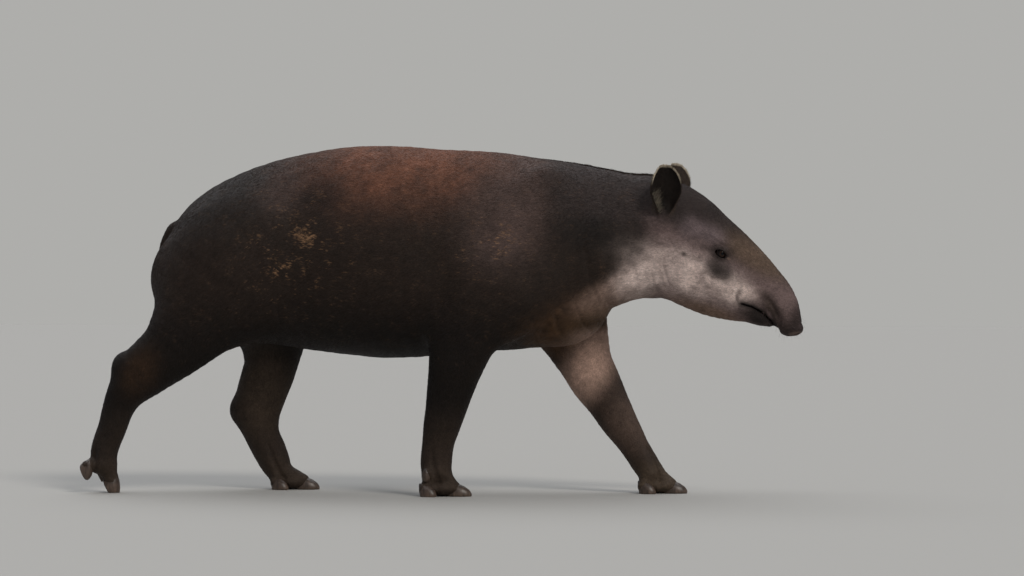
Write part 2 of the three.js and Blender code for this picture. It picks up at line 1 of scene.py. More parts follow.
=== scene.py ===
"""A Baird's tapir, walking, at life size: its skin, coat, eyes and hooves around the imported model,
with the floor, the lights and the camera.

The tables draw the animal in millimetres, +X towards the head and +Y to its left, as the part's source
does. placed() takes drawn points to metres in the frame. The skin is one surface round a field: limbs and
muscles fused with fillets, then lids, lips, nostrils and folds. The coat is short tufts rooted on it."""

import math

import bpy
import numpy as np
from mathutils import Matrix, Vector


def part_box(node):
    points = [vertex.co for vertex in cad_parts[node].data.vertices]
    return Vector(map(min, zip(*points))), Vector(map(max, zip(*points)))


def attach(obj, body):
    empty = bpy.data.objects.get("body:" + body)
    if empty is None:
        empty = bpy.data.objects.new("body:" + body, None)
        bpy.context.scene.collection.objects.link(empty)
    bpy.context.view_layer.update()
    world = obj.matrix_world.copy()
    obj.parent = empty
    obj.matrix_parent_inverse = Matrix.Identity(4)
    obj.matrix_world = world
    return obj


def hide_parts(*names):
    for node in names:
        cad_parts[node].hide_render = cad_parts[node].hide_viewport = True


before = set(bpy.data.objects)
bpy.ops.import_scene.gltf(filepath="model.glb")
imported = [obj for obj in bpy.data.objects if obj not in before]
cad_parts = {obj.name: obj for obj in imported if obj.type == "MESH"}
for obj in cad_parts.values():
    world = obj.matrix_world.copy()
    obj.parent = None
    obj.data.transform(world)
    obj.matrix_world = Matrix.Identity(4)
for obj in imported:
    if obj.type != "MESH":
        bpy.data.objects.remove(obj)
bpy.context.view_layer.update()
random = np.random.default_rng(11)

# Driving sizes, as in the part's source
SCALE = 0.001 * 1060 / 1139
FAR = 1e3
FUSE_LEG = 46
FUSE_FACE = 30
FUSE_LIP = 16
FUSE_TOE = 14
FUSE_EAR = 13
TRUNK_LEAN = 0.1
FACE_LEAN = 0.05
HEAD_START = 560
TOES_BELOW = 230
FLOOR_CLEARANCE = 3.5
FUSE_TAIL = 12
TOE_RADIUS = 0.46  # as a share of its hoof's width
SIDES = {"left": 1, "right": -1}

# How finely shapes are worked out
CURVE_STEPS = 4  # pieces of a limb between two stations
LIMB_REACH = 110  # how far a limb is felt beyond its own size, and a muscle
MUSCLE_REACH = 120
BLOCK = 4  # grid cells in a block that is read at its corners first
POINTS_AT_ONCE = 400000
SLOPE_STEP = 1.0
SETTLE_ROUNDS = 3
SETTLE_CAP = 4
HAIR_STEPS = 4

EYE_RADIUS = 17
EYE_CENTRE = np.array([925, 74, 783])
LID_HALF = [28, 17, 23]
LID_OUT = 3
EYE_SLIT = [16, 8.6]
EYE_SLANT = -28
FUSE_LID = 9
FUSE_SOCKET = 1
FUSE_SLIT = 2.5

EARS = {
    "left": {"root": [738, 98, 900], "length": 180},
    "right": {"root": [738, -98, 893], "length": 176},
}
EAR_ARC = 64
EAR_ROOT_ARC = 40
EAR_ROOT_RADIUS = 16
EAR_THICKNESS = 9
EAR_WIDEST = 0.58
EAR_TIP = 0.985
EAR_BEND = 1.15  # half the turn of the cup, in radians
EAR_ROOT_BEND = 1.35  # what the turn gains at the root
EAR_UP = [0.1, 0.2, 0.97]
EAR_OPENS = [0.45, 0.89, 0.05]

MOUTH_LINE = [(989, 622), (1022, 612), (1054, 593), (1080, 567), (1099, 542), (1106, 500)]
MOUTH_CLOSED = 12  # half the width over which the lips are one
MOUTH_GAP = 2.1  # half the gap at the lips
MOUTH_WIDENS = 0.12  # share of the depth that the gap gains inwards
MOUTH_DEPTH = 22  # depth at which it stops widening
FUSE_MOUTH = 2.4
NOSTRIL = {"at": [1163, 15, 521], "half": [11, 6.5, 12], "fillet": 3}

# How far the skin lies inside the solids: the depth of the coat over it
COAT_DEPTH = 2.6
FACE_COAT_DEPTH = 1.1

# Stations of a limb: x, y, z of its middle, its half depth, and its half width as a share of that
TRUNK = [
    (-760, 0, 735, 190, 0.74),  # rump
    (-665, 0, 766, 256, 0.76),
    (-520, 0, 784, 304, 0.76),  # croup
    (-340, 0, 793, 337, 0.75),
    (-180, 0, 790, 349, 0.75),  # deepest part of the belly
    (-20, 0, 788, 338, 0.73),
    (150, 0, 790, 327, 0.7),  # withers
    (300, 0, 790, 306, 0.66),
    (420, 0, 823, 255, 0.69),  # chest
    (540, 0, 833, 222, 0.65),
    (620, 0, 838, 203, 0.64),  # throat
    (690, 0, 838, 192, 0.63),
]
FACE = [
    (690, 0, 838, 192, 0.63),  # nape
    (760, 0, 820, 181, 0.61),
    (823, 0, 783, 165, 0.6),  # cheek
    (899, 0, 739, 146, 0.61),  # eye
    (977, 0, 696, 119, 0.58),
    (1036, 0, 677, 86, 0.62),  # mouth
    (1083, 0, 648, 67, 0.7),
    (1113, 0, 614, 55, 0.8),  # proboscis
    (1131, 0, 578, 45, 0.9),
    (1141, 0, 556, 38, 1),
]
JAW = [
    (800, 0, 722, 102, 0.85),
    (880, 0, 655, 72, 0.8),
    (955, 0, 612, 45, 0.95),
    (1000, 0, 593, 31, 1.2),
    (1040, 0, 577, 26, 1.2),  # chin
    (1071, 0, 565, 18, 1.4),  # lower lip
]
UPPER_LIP = [
    (975, 0, 646, 40, 1),
    (1020, 0, 637, 34, 1.1),
    (1058, 0, 616, 28, 1.2),
    (1086, 0, 588, 21, 1.3),
    (1100, 0, 566, 15, 1.3),
]
TAIL = [
    (-860, 0, 868, 34, 0.9),
    (-898, 0, 862, 30, 0.9),
    (-922, 0, 832, 24, 0.9),
    (-939, 0, 796, 18, 0.9),
    (-945, 0, 768, 10, 0.9),
]

# Muscles: middle, half sizes, tilt about Y in degrees (front up), fillet, and if they come as a pair
BODY_MUSCLES = [
    ((-660, 130, 728), (215, 118, 236), -15, 95, True),  # haunch
    ((-846, 100, 692), (108, 84, 140), 8, 50, True),  # buttock
    ((330, 108, 850), (125, 72, 210), -18, 90, True),  # shoulder blade
    ((225, 140, 650), (165, 80, 130), 25, 80, True),  # upper arm
    ((390, 0, 612), (150, 116, 128), -10, 40, False),  # brisket
    ((-1036, -156, 418), (30, 30, 36), 0, 26, False),  # right heel
    ((-716, 152, 262), (31, 28, 34), 0, 26, False),  # left heel
]
HEAD_MUSCLES = [
    ((808, 66, 738), (92, 42, 84), -25, 45, True),  # cheek
    ((903, 60, 817), (46, 24, 20), -38, 22, True),  # brow
    ((893, 68, 742), (72, 22, 18), -22, 24, True),  # cheekbone
    ((738, 90, 884), (36, 30, 34), 0, 24, True),  # root of the ear
    ((1163, 0, 538), (19, 31, 15), 20, 14, False),  # rim of the nose
    ((1131, 0, 535), (23, 28, 14), 0, 12, False),  # back of the rim
]

# A leg runs from inside the trunk to the fetlock, with a pad of flesh between the toes. A toe is placed by
# the middle of its sole: at, pitch, turn, long, wide, high.
LEGS = {
    "hind_right": {
        "stations": [
            (-690, -150, 700, 195, 0.55),
            (-782, -160, 576, 146, 0.6),  # thigh
            (-863, -165, 478, 108, 0.72),
            (-960, -160, 400, 89, 0.75),
            (-1020, -152, 336, 67, 0.8),  # hock
            (-1050, -148, 283, 55, 0.82),
            (-1073, -146, 215, 49, 0.86),
            (-1098, -144, 148, 47, 0.95),
            (-1103, -143, 105, 42, 1.1),  # fetlock
        ],
        "pad": ((-1106, -143, 88), (42, 44, 32)),
        "toes": {
            "middle": ((-1088, -143, 12), 60, 0, 78, 54, 46),
            "outer": ((-1162, -178, 70), 68, -12, 58, 42, 38),
            "inner": ((-1134, -108, 58), 64, 12, 56, 42, 38),
        },
    },
    "hind_left": {
        "stations": [
            (-620, 150, 660, 190, 0.58),
            (-608, 160, 540, 126, 0.65),  # thigh
            (-612, 160, 430, 94, 0.78),
            (-627, 157, 372, 89, 0.75),
            (-648, 152, 305, 84, 0.72),
            (-657, 148, 250, 78, 0.72),  # hock
            (-643, 146, 190, 62, 0.8),
            (-618, 144, 135, 57, 0.86),
            (-596, 142, 90, 51, 1),
            (-583, 141, 62, 42, 1.15),  # fetlock
        ],
        "pad": ((-540, 142, 24), (58, 44, 24)),
        "toes": {
            "middle": ((-488, 141, 0), 0, 0, 84, 56, 42),
            "outer": ((-556, 186, 0), 0, 18, 62, 42, 40),
            "inner": ((-570, 99, 0), 0, -18, 62, 42, 40),
        },
    },
    "front_right": {
        "stations": [
            (170, -150, 680, 180, 0.5),
            (108, -158, 540, 121, 0.62),  # elbow
            (80, -158, 440, 94, 0.72),
            (62, -152, 370, 81, 0.78),
            (45, -147, 300, 71, 0.8),
            (28, -143, 235, 62, 0.85),  # wrist
            (15, -140, 175, 54, 0.88),
            (8, -138, 120, 52, 0.92),
            (8, -137, 75, 50, 1.05),  # fetlock
        ],
        "pad": ((25, -140, 24), (62, 46, 24)),
        "toes": {
            "middle": ((78, -138, 0), 0, 0, 86, 56, 42),
            "outer": ((-12, -182, 0), 0, -24, 60, 43, 42),
            "inner": ((28, -94, 0), 0, 16, 62, 43, 42),
            "small": ((-20, -176, 64), 60, -60, 40, 28, 24),
        },
    },
    "front_left": {
        "stations": [
            (330, 140, 680, 180, 0.5),
            (395, 152, 560, 128, 0.62),  # elbow
            (445, 155, 440, 92, 0.72),
            (480, 152, 370, 84, 0.75),
            (524, 147, 300, 71, 0.8),
            (565, 144, 230, 60, 0.86),  # wrist
            (608, 141, 165, 50, 0.92),
            (643, 139, 110, 46, 1),
            (668, 138, 70, 42, 1.2),  # fetlock
        ],
        "pad": ((698, 140, 24), (60, 46, 24)),
        "toes": {
            "middle": ((744, 138, 0), 0, 0, 86, 56, 42),
            "outer": ((680, 184, 0), 0, 20, 60, 43, 42),
            "inner": ((662, 94, 0), 0, -20, 60, 43, 42),
            "small": ((640, 176, 62), 60, 60, 40, 28, 24),
        },
    },
}

# Soft forms: middle, half sizes, tilt, and how deep they press in (or stand out, where negative)
SOFT_FORMS = [
    ((-425, 250, 830), (70, 110, 150), -10, 11),  # flank, in front of the haunch
    ((-470, 250, 620), (60, 90, 60), 30, 6),
    ((40, 240, 660), (46, 90, 130), 6, 10),  # behind the elbow
    ((482, 170, 850), (34, 90, 170), -16, 9),  # in front of the shoulder blade
    ((180, 240, 870), (30, 80, 140), -10, 5),  # behind the shoulder blade
    ((310, 190, 960), (20, 60, 110), -20, 3),  # along the shoulder blade
    ((-560, 170, 1020), (60, 60, 34), 8, -2.5),  # point of the hip
    ((-700, 250, 560), (40, 70, 110), -30, 5),  # between haunch and thigh
    ((852, 100, 858), (36, 34, 28), -30, 6),  # temple
    ((975, 72, 752), (46, 34, 18), -30, 5),  # in front of the eye
    ((916, 88, 836), (42, 30, 11), -26, -3),  # brow
    ((886, 92, 786), (16, 26, 20), -20, 4),  # behind the eye
    ((924, 90, 737), (36, 26, 17), -10, -4.5),  # bag under the eye
    ((935, 84, 672), (74, 30, 16), -16, -5),  # ridge of the cheek
    ((838, 96, 842), (26, 30, 24), -30, -2.5),  # forehead, behind the temple's hollow
    ((1030, 60, 690), (40, 30, 22), -35, 2.5),  # side of the nose
    ((1122, 44, 600), (16, 20, 52), 22, -2.5),  # ridge down the proboscis
    ((1076, 52, 640), (20, 24, 26), -40, 2),  # hollow above the upper lip
    ((-905, 40, 815), (46, 14, 62), 0, 8),  # beside the tail
    ((905, 66, 668), (58, 40, 18), -24, 3),  # between cheek and jaw
    ((760, 110, 770), (22, 40, 70), -12, 4),  # behind the cheek
]
LEG_FORMS = [
    ((-985, -165, 366), (26, 120, 46), 0, 7),  # hollow before the heel's tendon
    ((-640, 160, 312), (20, 120, 30), 0, 5),
    ((-822, -170, 548), (30, 130, 60), -35, 4),
    ((92, -158, 480), (26, 120, 60), 10, 4),
    ((452, 150, 470), (26, 120, 60), -22, 4),
]

# Folds of the skin in the side view: how wide, how deep, and their line from end to end
FOLDS = [
    (8, 7.5, [(1046, 650), (1070, 636), (1090, 612), (1104, 584), (1114, 548)]),  # between upper lip and nose
    (4, 1.6, [(1078, 700), (1066, 672), (1046, 655)]),
    (4, 1.7, [(1104, 682), (1092, 650), (1076, 634)]),
    (4, 1.7, [(1126, 660), (1114, 630), (1098, 612)]),
    (3.6, 1.6, [(1146, 634), (1132, 608), (1112, 594)]),
    (3.4, 1.5, [(1160, 608), (1144, 586), (1122, 574)]),
    (3.2, 1.4, [(1170, 586), (1152, 564), (1130, 554)]),
    (5, 3.6, [(986, 606), (976, 626), (972, 650), (980, 672)]),  # at the corner of the mouth
    (3, 2.4, [(1104, 552), (1134, 548), (1164, 554), (1186, 564)]),  # over the rim of the nose
    (2.6, 1.2, [(1112, 566), (1138, 562), (1166, 570)]),
    (2.4, 0.9, [(1118, 580), (1144, 578), (1170, 588)]),
    (4, 1.6, [(985, 612), (966, 612), (945, 620)]),
    (3.5, 1.3, [(1000, 640), (985, 652), (975, 672)]),
    (6, 5.6, [(880, 720), (900, 704), (934, 698), (966, 712)]),  # under the eye
    (2.6, 1.6, [(896, 762), (914, 752), (938, 752), (958, 762)]),
    (2.4, 1, [(894, 750), (914, 739), (940, 739)]),
    (3.2, 3, [(890, 786), (902, 806), (924, 815), (946, 804)]),  # over the upper lid
    (2.6, 1.4, [(884, 800), (898, 820), (920, 828)]),
    (3, 1.8, [(952, 764), (968, 756), (984, 756)]),  # from the inner corner of the eye
    (6, 2.4, [(770, 668), (752, 700), (742, 748), (744, 800)]),  # behind the jaw
    (7, 2.2, [(730, 640), (712, 678), (702, 730)]),
    (8, 2.6, [(672, 640), (652, 690), (646, 760)]),
    (8, 2.4, [(600, 622), (585, 680), (590, 760)]),
    (9, 2.8, [(545, 600), (522, 650), (505, 720), (500, 800)]),
    (8, 2.4, [(505, 520), (478, 560), (462, 620), (470, 690)]),
    (8, 3, [(420, 490), (400, 540), (396, 600)]),  # across the brisket
    (8, 2.6, [(360, 478), (338, 520), (330, 570)]),
    (7, 2.6, [(168, 500), (192, 540), (228, 566)]),  # over the elbow
    (7, 2, [(176, 462), (204, 492), (232, 510)]),
    (8, 2.6, [(-470, 520), (-500, 560), (-505, 620), (-480, 680)]),  # before the thigh
    (8, 2, [(-430, 500), (-455, 545), (-460, 600)]),
    (9, 7, [(-4, 165), (6, 110), (18, 60), (24, 14)]),  # between the toes of each foot
    (9, 7, [(640, 190), (665, 140), (690, 80), (708, 14)]),
    (9, 7, [(-616, 160), (-594, 108), (-566, 50), (-545, 12)]),
    (9, 7, [(-1112, 160), (-1124, 115), (-1122, 66)]),
    (5, 1.8, [(712, 872), (700, 900), (704, 930)]),  # round the ear's root
    (5, 1.8, [(776, 872), (792, 892), (790, 918)]),
    (5, 1.6, [(722, 856), (748, 848), (776, 856)]),
    (5, 1.4, [(690, 850), (676, 884), (682, 920)]),
]


def placed(points):
    """Drawn millimetres to metres in the frame."""
    return np.asarray(points, float) * SCALE + SHIFT


def eye_middle():
    low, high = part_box("eye_right")
    return 0.5 * (np.array(low) + np.array(high))


SHIFT = eye_middle() - SCALE * EYE_CENTRE * [1, -1, 1]


# Fields: rough distances in drawn millimetres, negative inside
def refined(stations):
    """A Catmull-Rom curve through the stations."""
    s = np.array(stations, float)
    p = np.vstack([2 * s[0] - s[1], s, 2 * s[-1] - s[-2]])
    out = []
    for i in range(1, len(p) - 2):
        a, b, c, d = p[i - 1 : i + 3]
        for t in np.arange(CURVE_STEPS) / CURVE_STEPS:
            bend = (2 * a - 5 * b + 4 * c - d) * t**2 + (3 * b - a - 3 * c + d) * t**3
            out.append(0.5 * (2 * b + (c - a) * t + bend))
    return np.array(out + [p[-2]])


def near(points, low, high):
    return np.flatnonzero(((points > low) & (points < high)).all(1))


def limb(points, stations, lean=0):
    s = refined(stations)
    out = np.full(len(points), FAR)
    low = (s[:, :3] - s[:, 3:4]).min(0) - LIMB_REACH
    high = (s[:, :3] + s[:, 3:4]).max(0) + LIMB_REACH
    chosen = near(points, low, high)
    x, y, z = points[chosen].T
    best = np.full(len(chosen), FAR)
    for a, b in zip(s[:-1], s[1:]):
        step = b[:3] - a[:3]
        width = 0.5 * (a[4] + b[4])
        along = step / [1, width**2, 1]
        dot = (x - a[0]) * along[0] + (y - a[1]) * along[1] + (z - a[2]) * along[2]
        h = np.clip(dot / (along @ step), 0, 1)
        r = a[3] + h * (b[3] - a[3])
        dz = z - a[2] - h * step[2]
        wide = a[4] + h * (b[4] - a[4])
        if lean:
            wide = wide * (1 - lean * np.clip(dz / r, -1, 1))
        dx = x - a[0] - h * step[0]
        dy = (y - a[1] - h * step[1]) / wide
        np.minimum(best, np.sqrt(dx * dx + dy * dy + dz * dz) - r, out=best)
    out[chosen] = best
    return out


def turned(points, at, tilt):
    """Points in axes turned about Y at a place."""
    c, s = math.cos(math.radians(tilt)), math.sin(math.radians(tilt))
    x, y, z = (points - np.array(at, float)).T
    return x * c + z * s, y, z * c - x * s


def muscle(points, at, half, tilt=0):
    out = np.full(len(points), FAR)
    reach = max(half) + MUSCLE_REACH
    chosen = near(points, np.array(at) - reach, np.array(at) + reach)
    u, v, w = turned(points[chosen], at, tilt)
    k0 = np.sqrt((u / half[0]) ** 2 + (v / half[1]) ** 2 + (w / half[2]) ** 2)
    k1 = np.sqrt((u / half[0] ** 2) ** 2 + (v / half[1] ** 2) ** 2 + (w / half[2] ** 2) ** 2)
    out[chosen] = k0 * (k0 - 1) / np.maximum(k1, 1e-9)
    return out


def fuse(a, b, fillet):
    h = np.maximum(fillet - np.abs(a - b), 0) / fillet
    return np.minimum(a, b) - h * h * fillet / 4


def carve(a, b, fillet):
    return -fuse(-a, b, fillet)


def both_sides(at):
    return [np.array(at, float) * [1, side, 1] for side in (1, -1)]


def smoothstep(v, start, end):
    t = np.clip((v - start) / (end - start), 0, 1)
    return t * t * (3 - 2 * t)


def unit(v):
    return v / np.linalg.norm(v, axis=-1, keepdims=True)


def toe_turn(toe):
    """How a toe is turned: down through its pitch, then to the side."""
    pitch = Matrix.Rotation(math.radians(toe[1]), 3, "Y")
    turn = Matrix.Rotation(math.radians(toe[2]), 3, "Z")
    return np.array(turn @ pitch)


def toe_flesh(points, stations, toe):
    at, _, _, long, wide, high = toe
    fetlock = stations[-1]
    radius = TOE_RADIUS * wide
    end = np.array(at) + toe_turn(toe) @ [-0.2 * long, 0, 0.5 * high]
    start = [fetlock[i] + 0.15 * (end[i] - fetlock[i]) for i in (0, 1)]
    height = max(end[2], radius + 3)
    ends = [(*start, fetlock[2] - 4, 1.3 * radius, 1), (end[0], end[1], height, radius, 1)]
    return limb(points, ends)


def ear_axes(side):
    up = Vector((EAR_UP[0], side * EAR_UP[1], EAR_UP[2])).normalized()
    opens = Vector((EAR_OPENS[0], side * EAR_OPENS[1], EAR_OPENS[2]))
    across = opens.cross(up).normalized()
    opens = up.cross(across)
    return np.array(across), np.array(opens), np.array(up)


def ear_curve(v):
    """An ear's sheet at a height from 0 to 1: the radius of its cup and half its turn."""
    taper = np.sqrt(1 - np.maximum(0, (v - EAR_WIDEST) / (1 - EAR_WIDEST)) ** 2)
    arc = (EAR_ROOT_ARC + (EAR_ARC - EAR_ROOT_ARC) * smoothstep(v, 0, EAR_WIDEST)) * taper
    bend = EAR_BEND + EAR_ROOT_BEND * (1 - np.minimum(1, v / 0.5)) ** 1.5
    return arc / bend, bend


def ear_thickness(u, v):
    return EAR_THICKNESS * (1 - 0.45 * v) * (1 - 0.2 * u * u)


def ear_place(points, name):
    """A point's place on an ear: turn round the cup, height, distance from the sheet, and side of it."""
    root, length = EARS[name]["root"], EARS[name]["length"]
    across, opens, up = ear_axes(math.copysign(1, root[1]))
    rel = points - np.array(root, float)
    v = rel @ up / length
    held = np.clip(v, 0, EAR_TIP)
    curve, bend = ear_curve(held)
    a = rel @ across
    o = rel @ opens + EAR_ROOT_RADIUS - curve
    turn = np.arctan2(a, -o)
    u = np.clip(turn / bend, -1, 1)
    end = np.clip(turn, -bend, bend)
    beside = np.hypot(a - curve * np.sin(end), o + curve * np.cos(end))
    inner = np.where(np.abs(turn) < bend, np.abs(np.hypot(a, o) - curve), beside)
    beyond = np.abs(v - held) * length
    away = np.hypot(inner, beyond) - 0.5 * ear_thickness(u, held)
    facing = np.sign(curve - np.hypot(a, o))
    return u, held, away, facing


def ear(points, name):
    root, length = EARS[name]["root"], EARS[name]["length"]
    out = np.full(len(points), FAR)
    root = np.array(root, float)
    chosen = near(points, root - [90, 90, 60], root + [110, 110, length + 40])
    if len(chosen):
        out[chosen] = ear_place(points[chosen], name)[2]
    return out


def lids(points, f):
    """Swells the lids over an eye, and opens the socket and an almond between them."""
    slant = math.radians(EYE_SLANT)
    for side in SIDES.values():
        eye = EYE_CENTRE * [1, side, 1]
        chosen = near(points, eye - 60, eye + 60)
        if len(chosen) == 0:
            continue
        p = points[chosen]
        g = fuse(f[chosen], muscle(p, eye + [0, side * LID_OUT, 0], LID_HALF), FUSE_LID)
        x, y, z = (p - eye).T
        g = carve(g, np.sqrt(x * x + y * y + z * z) - EYE_RADIUS - 0.5, FUSE_SOCKET)
        along = x * math.cos(slant) + z * math.sin(slant)
        across = z * math.cos(slant) - x * math.sin(slant)
        almond = (np.hypot(along / EYE_SLIT[0], across / EYE_SLIT[1]) - 1) * EYE_SLIT[1]
        g = carve(g, np.maximum(almond, -side * y), FUSE_SLIT)
        f[chosen] = g
    return f


def line_distance(x, z, line):
    """Distance in the side view to a bent line, and how far along it from 0 to 1."""
    p = np.array(line, float)
    lengths = np.hypot(*(p[1:] - p[:-1]).T)
    start = np.r_[0, np.cumsum(lengths)]
    best = np.full(len(x), FAR)
    place = np.zeros(len(x))
    for i, length in enumerate(lengths):
        step = (p[i + 1] - p[i]) / length
        t = np.clip((x - p[i, 0]) * step[0] + (z - p[i, 1]) * step[1], 0, length)
        away = np.hypot(x - p[i, 0] - t * step[0], z - p[i, 1] - t * step[1])
        closer = away < best
        best[closer] = away[closer]
        place[closer] = (start[i] + t[closer]) / start[-1]
    return best, place


def flesh(points):
    """The bare body with legs, toes, ears, lids, lips and nostrils."""
    f = limb(points, TRUNK, TRUNK_LEAN)
    for at, half, tilt, fillet, pair in BODY_MUSCLES:
        for middle in both_sides(at)[: 2 if pair else 1]:
            f = fuse(f, muscle(points, middle, half, tilt), fillet)
    for leg in LEGS.values():
        f = fuse(f, limb(points, leg["stations"]), FUSE_LEG)
    low = np.flatnonzero(points[:, 2] < TOES_BELOW)
    for leg in LEGS.values():
        f[low] = fuse(f[low], muscle(points[low], *leg["pad"]), FUSE_TOE)
        for toe in leg["toes"].values():
            f[low] = fuse(f[low], toe_flesh(points[low], leg["stations"], toe), FUSE_TOE)
    f = fuse(f, limb(points, TAIL), FUSE_TAIL)
    front = np.flatnonzero(points[:, 0] > HEAD_START)
    f[front] = head(points[front], f[front])
    return f


def head(points, f):
    face = fuse(limb(points, FACE, FACE_LEAN), limb(points, UPPER_LIP), FUSE_LIP)
    face = fuse(face, limb(points, JAW), FUSE_LIP)
    f = fuse(f, face, FUSE_FACE)
    for at, half, tilt, fillet, pair in HEAD_MUSCLES:
        for middle in both_sides(at)[: 2 if pair else 1]:
            f = fuse(f, muscle(points, middle, half, tilt), fillet)
    chosen = near(points, [960, -120, 470], [1140, 120, 660])
    away, _ = line_distance(points[chosen, 0], points[chosen, 2], MOUTH_LINE)
    opening = away - MOUTH_GAP - MOUTH_WIDENS * np.maximum(f[chosen], -MOUTH_DEPTH)
    opening = np.maximum(opening, MOUTH_CLOSED - np.abs(points[chosen, 1]))
    f[chosen] = carve(f[chosen], opening, FUSE_MOUTH)
    for at in both_sides(NOSTRIL["at"]):
        f = carve(f, muscle(points, at, NOSTRIL["half"]), NOSTRIL["fillet"])
    for name in EARS:
        f = fuse(f, ear(points, name), FUSE_EAR)
    return lids(points, f)


def lattice(i, j, k, seed):
    """A number from 0 to 1 for each corner of a lattice."""
    n = (i * 73856093) ^ (j * 19349663) ^ (k * 83492791) ^ (seed * 2654435761)
    n = (n ^ (n >> 13)) * 1274126177 & 0x7FFFFFFF
    return ((n ^ (n >> 16)) & 0xFFFF) / 65535.0


def noise(points, size, seed):
    """Smooth value noise from -1 to 1, with blobs about that size."""
    q = np.asarray(points, float) / size + 1000
    base = np.floor(q).astype(np.int64)
    t = q - base
    t = t * t * (3 - 2 * t)
    total = np.zeros(len(q))
    for corner in range(8):
        step = np.array([corner & 1, corner >> 1 & 1, corner >> 2])
        share = np.prod(np.where(step, t, 1 - t), axis=1)
        total += share * lattice(*(base + step).T, seed)
    return 2 * total - 1


def skin_depth(points):
    x, _, z = points.T
    bare = np.maximum(smoothstep(x, 700, 860), smoothstep(-z, -190, -90))
    bare = np.maximum(bare, smoothstep(x, 640, 700) * smoothstep(z, 905, 930))
    return COAT_DEPTH + (FACE_COAT_DEPTH - COAT_DEPTH) * bare


def skin(points):
    """The field of the skin with all its folds."""
    f = flesh(points) + skin_depth(points)
    for at, half, tilt, press in SOFT_FORMS:
        for middle in both_sides(at):
            f += press * bump(points, middle, half, tilt)
    for at, half, tilt, press in LEG_FORMS:
        f += press * bump(points, at, half, tilt)
    x, _, z = points.T
    for width, depth, line in FOLDS:
        p = np.array(line)
        chosen = np.flatnonzero(
            (x > p[:, 0].min() - 3 * width)
            & (x < p[:, 0].max() + 3 * width)
            & (z > p[:, 1].min() - 3 * width)
            & (z < p[:, 1].max() + 3 * width)
        )
        if len(chosen) == 0:
            continue
        wander = 0.5 * width * noise(points[chosen], 30, 5)
        away, place = line_distance(x[chosen] + wander, z[chosen], line)
        fade = np.sin(np.pi * np.clip(place, 0.02, 0.98)) ** 0.6
        f[chosen] += depth * fade * np.exp(-((away / width) ** 2))
    f += wrinkles(points)
    return np.maximum(f, FLOOR_CLEARANCE - z)


def bump(points, at, half, tilt):
    out = np.zeros(len(points))
    reach = 2.2 * max(half)
    chosen = near(points, np.array(at) - reach, np.array(at) + reach)
    u, v, w = turned(points[chosen], at, tilt)
    out[chosen] = np.exp(-((u / half[0]) ** 2) - (v / half[1]) ** 2 - (w / half[2]) ** 2)
    return out


def wrinkles(points):
    """Fine unevenness: muscle ripple on the body, small creases on the snout, lips and feet."""
    x, _, z = points.T
    f = 1.3 * noise(points, 70, 1) + 0.6 * noise(points, 26, 2)
    snout = smoothstep(x, 940, 1080)
    feet = smoothstep(-z, -150, -60)
    fine = noise(points * [1.6, 1, 0.7], 7, 3)
    f = f * (1 - 0.75 * smoothstep(x, 700, 800))
    return f + (0.5 * snout + 0.6 * feet) * fine


# Meshes
def graded(*spans):
    """Grid lines over spans of (start, end, step)."""
    lines = [np.linspace(a, b, max(2, round((b - a) / step) + 1))[:-1] for a, b, step in spans]
    return np.r_[np.concatenate(lines), spans[-1][1]]


def blocks(values, starts, counts):
    """Stretches an array of blocks out over the grid."""
    for axis, count in enumerate(counts):
        sizes = np.diff(np.r_[starts[axis], count])
        values = np.repeat(values, sizes, axis=axis)
    return values


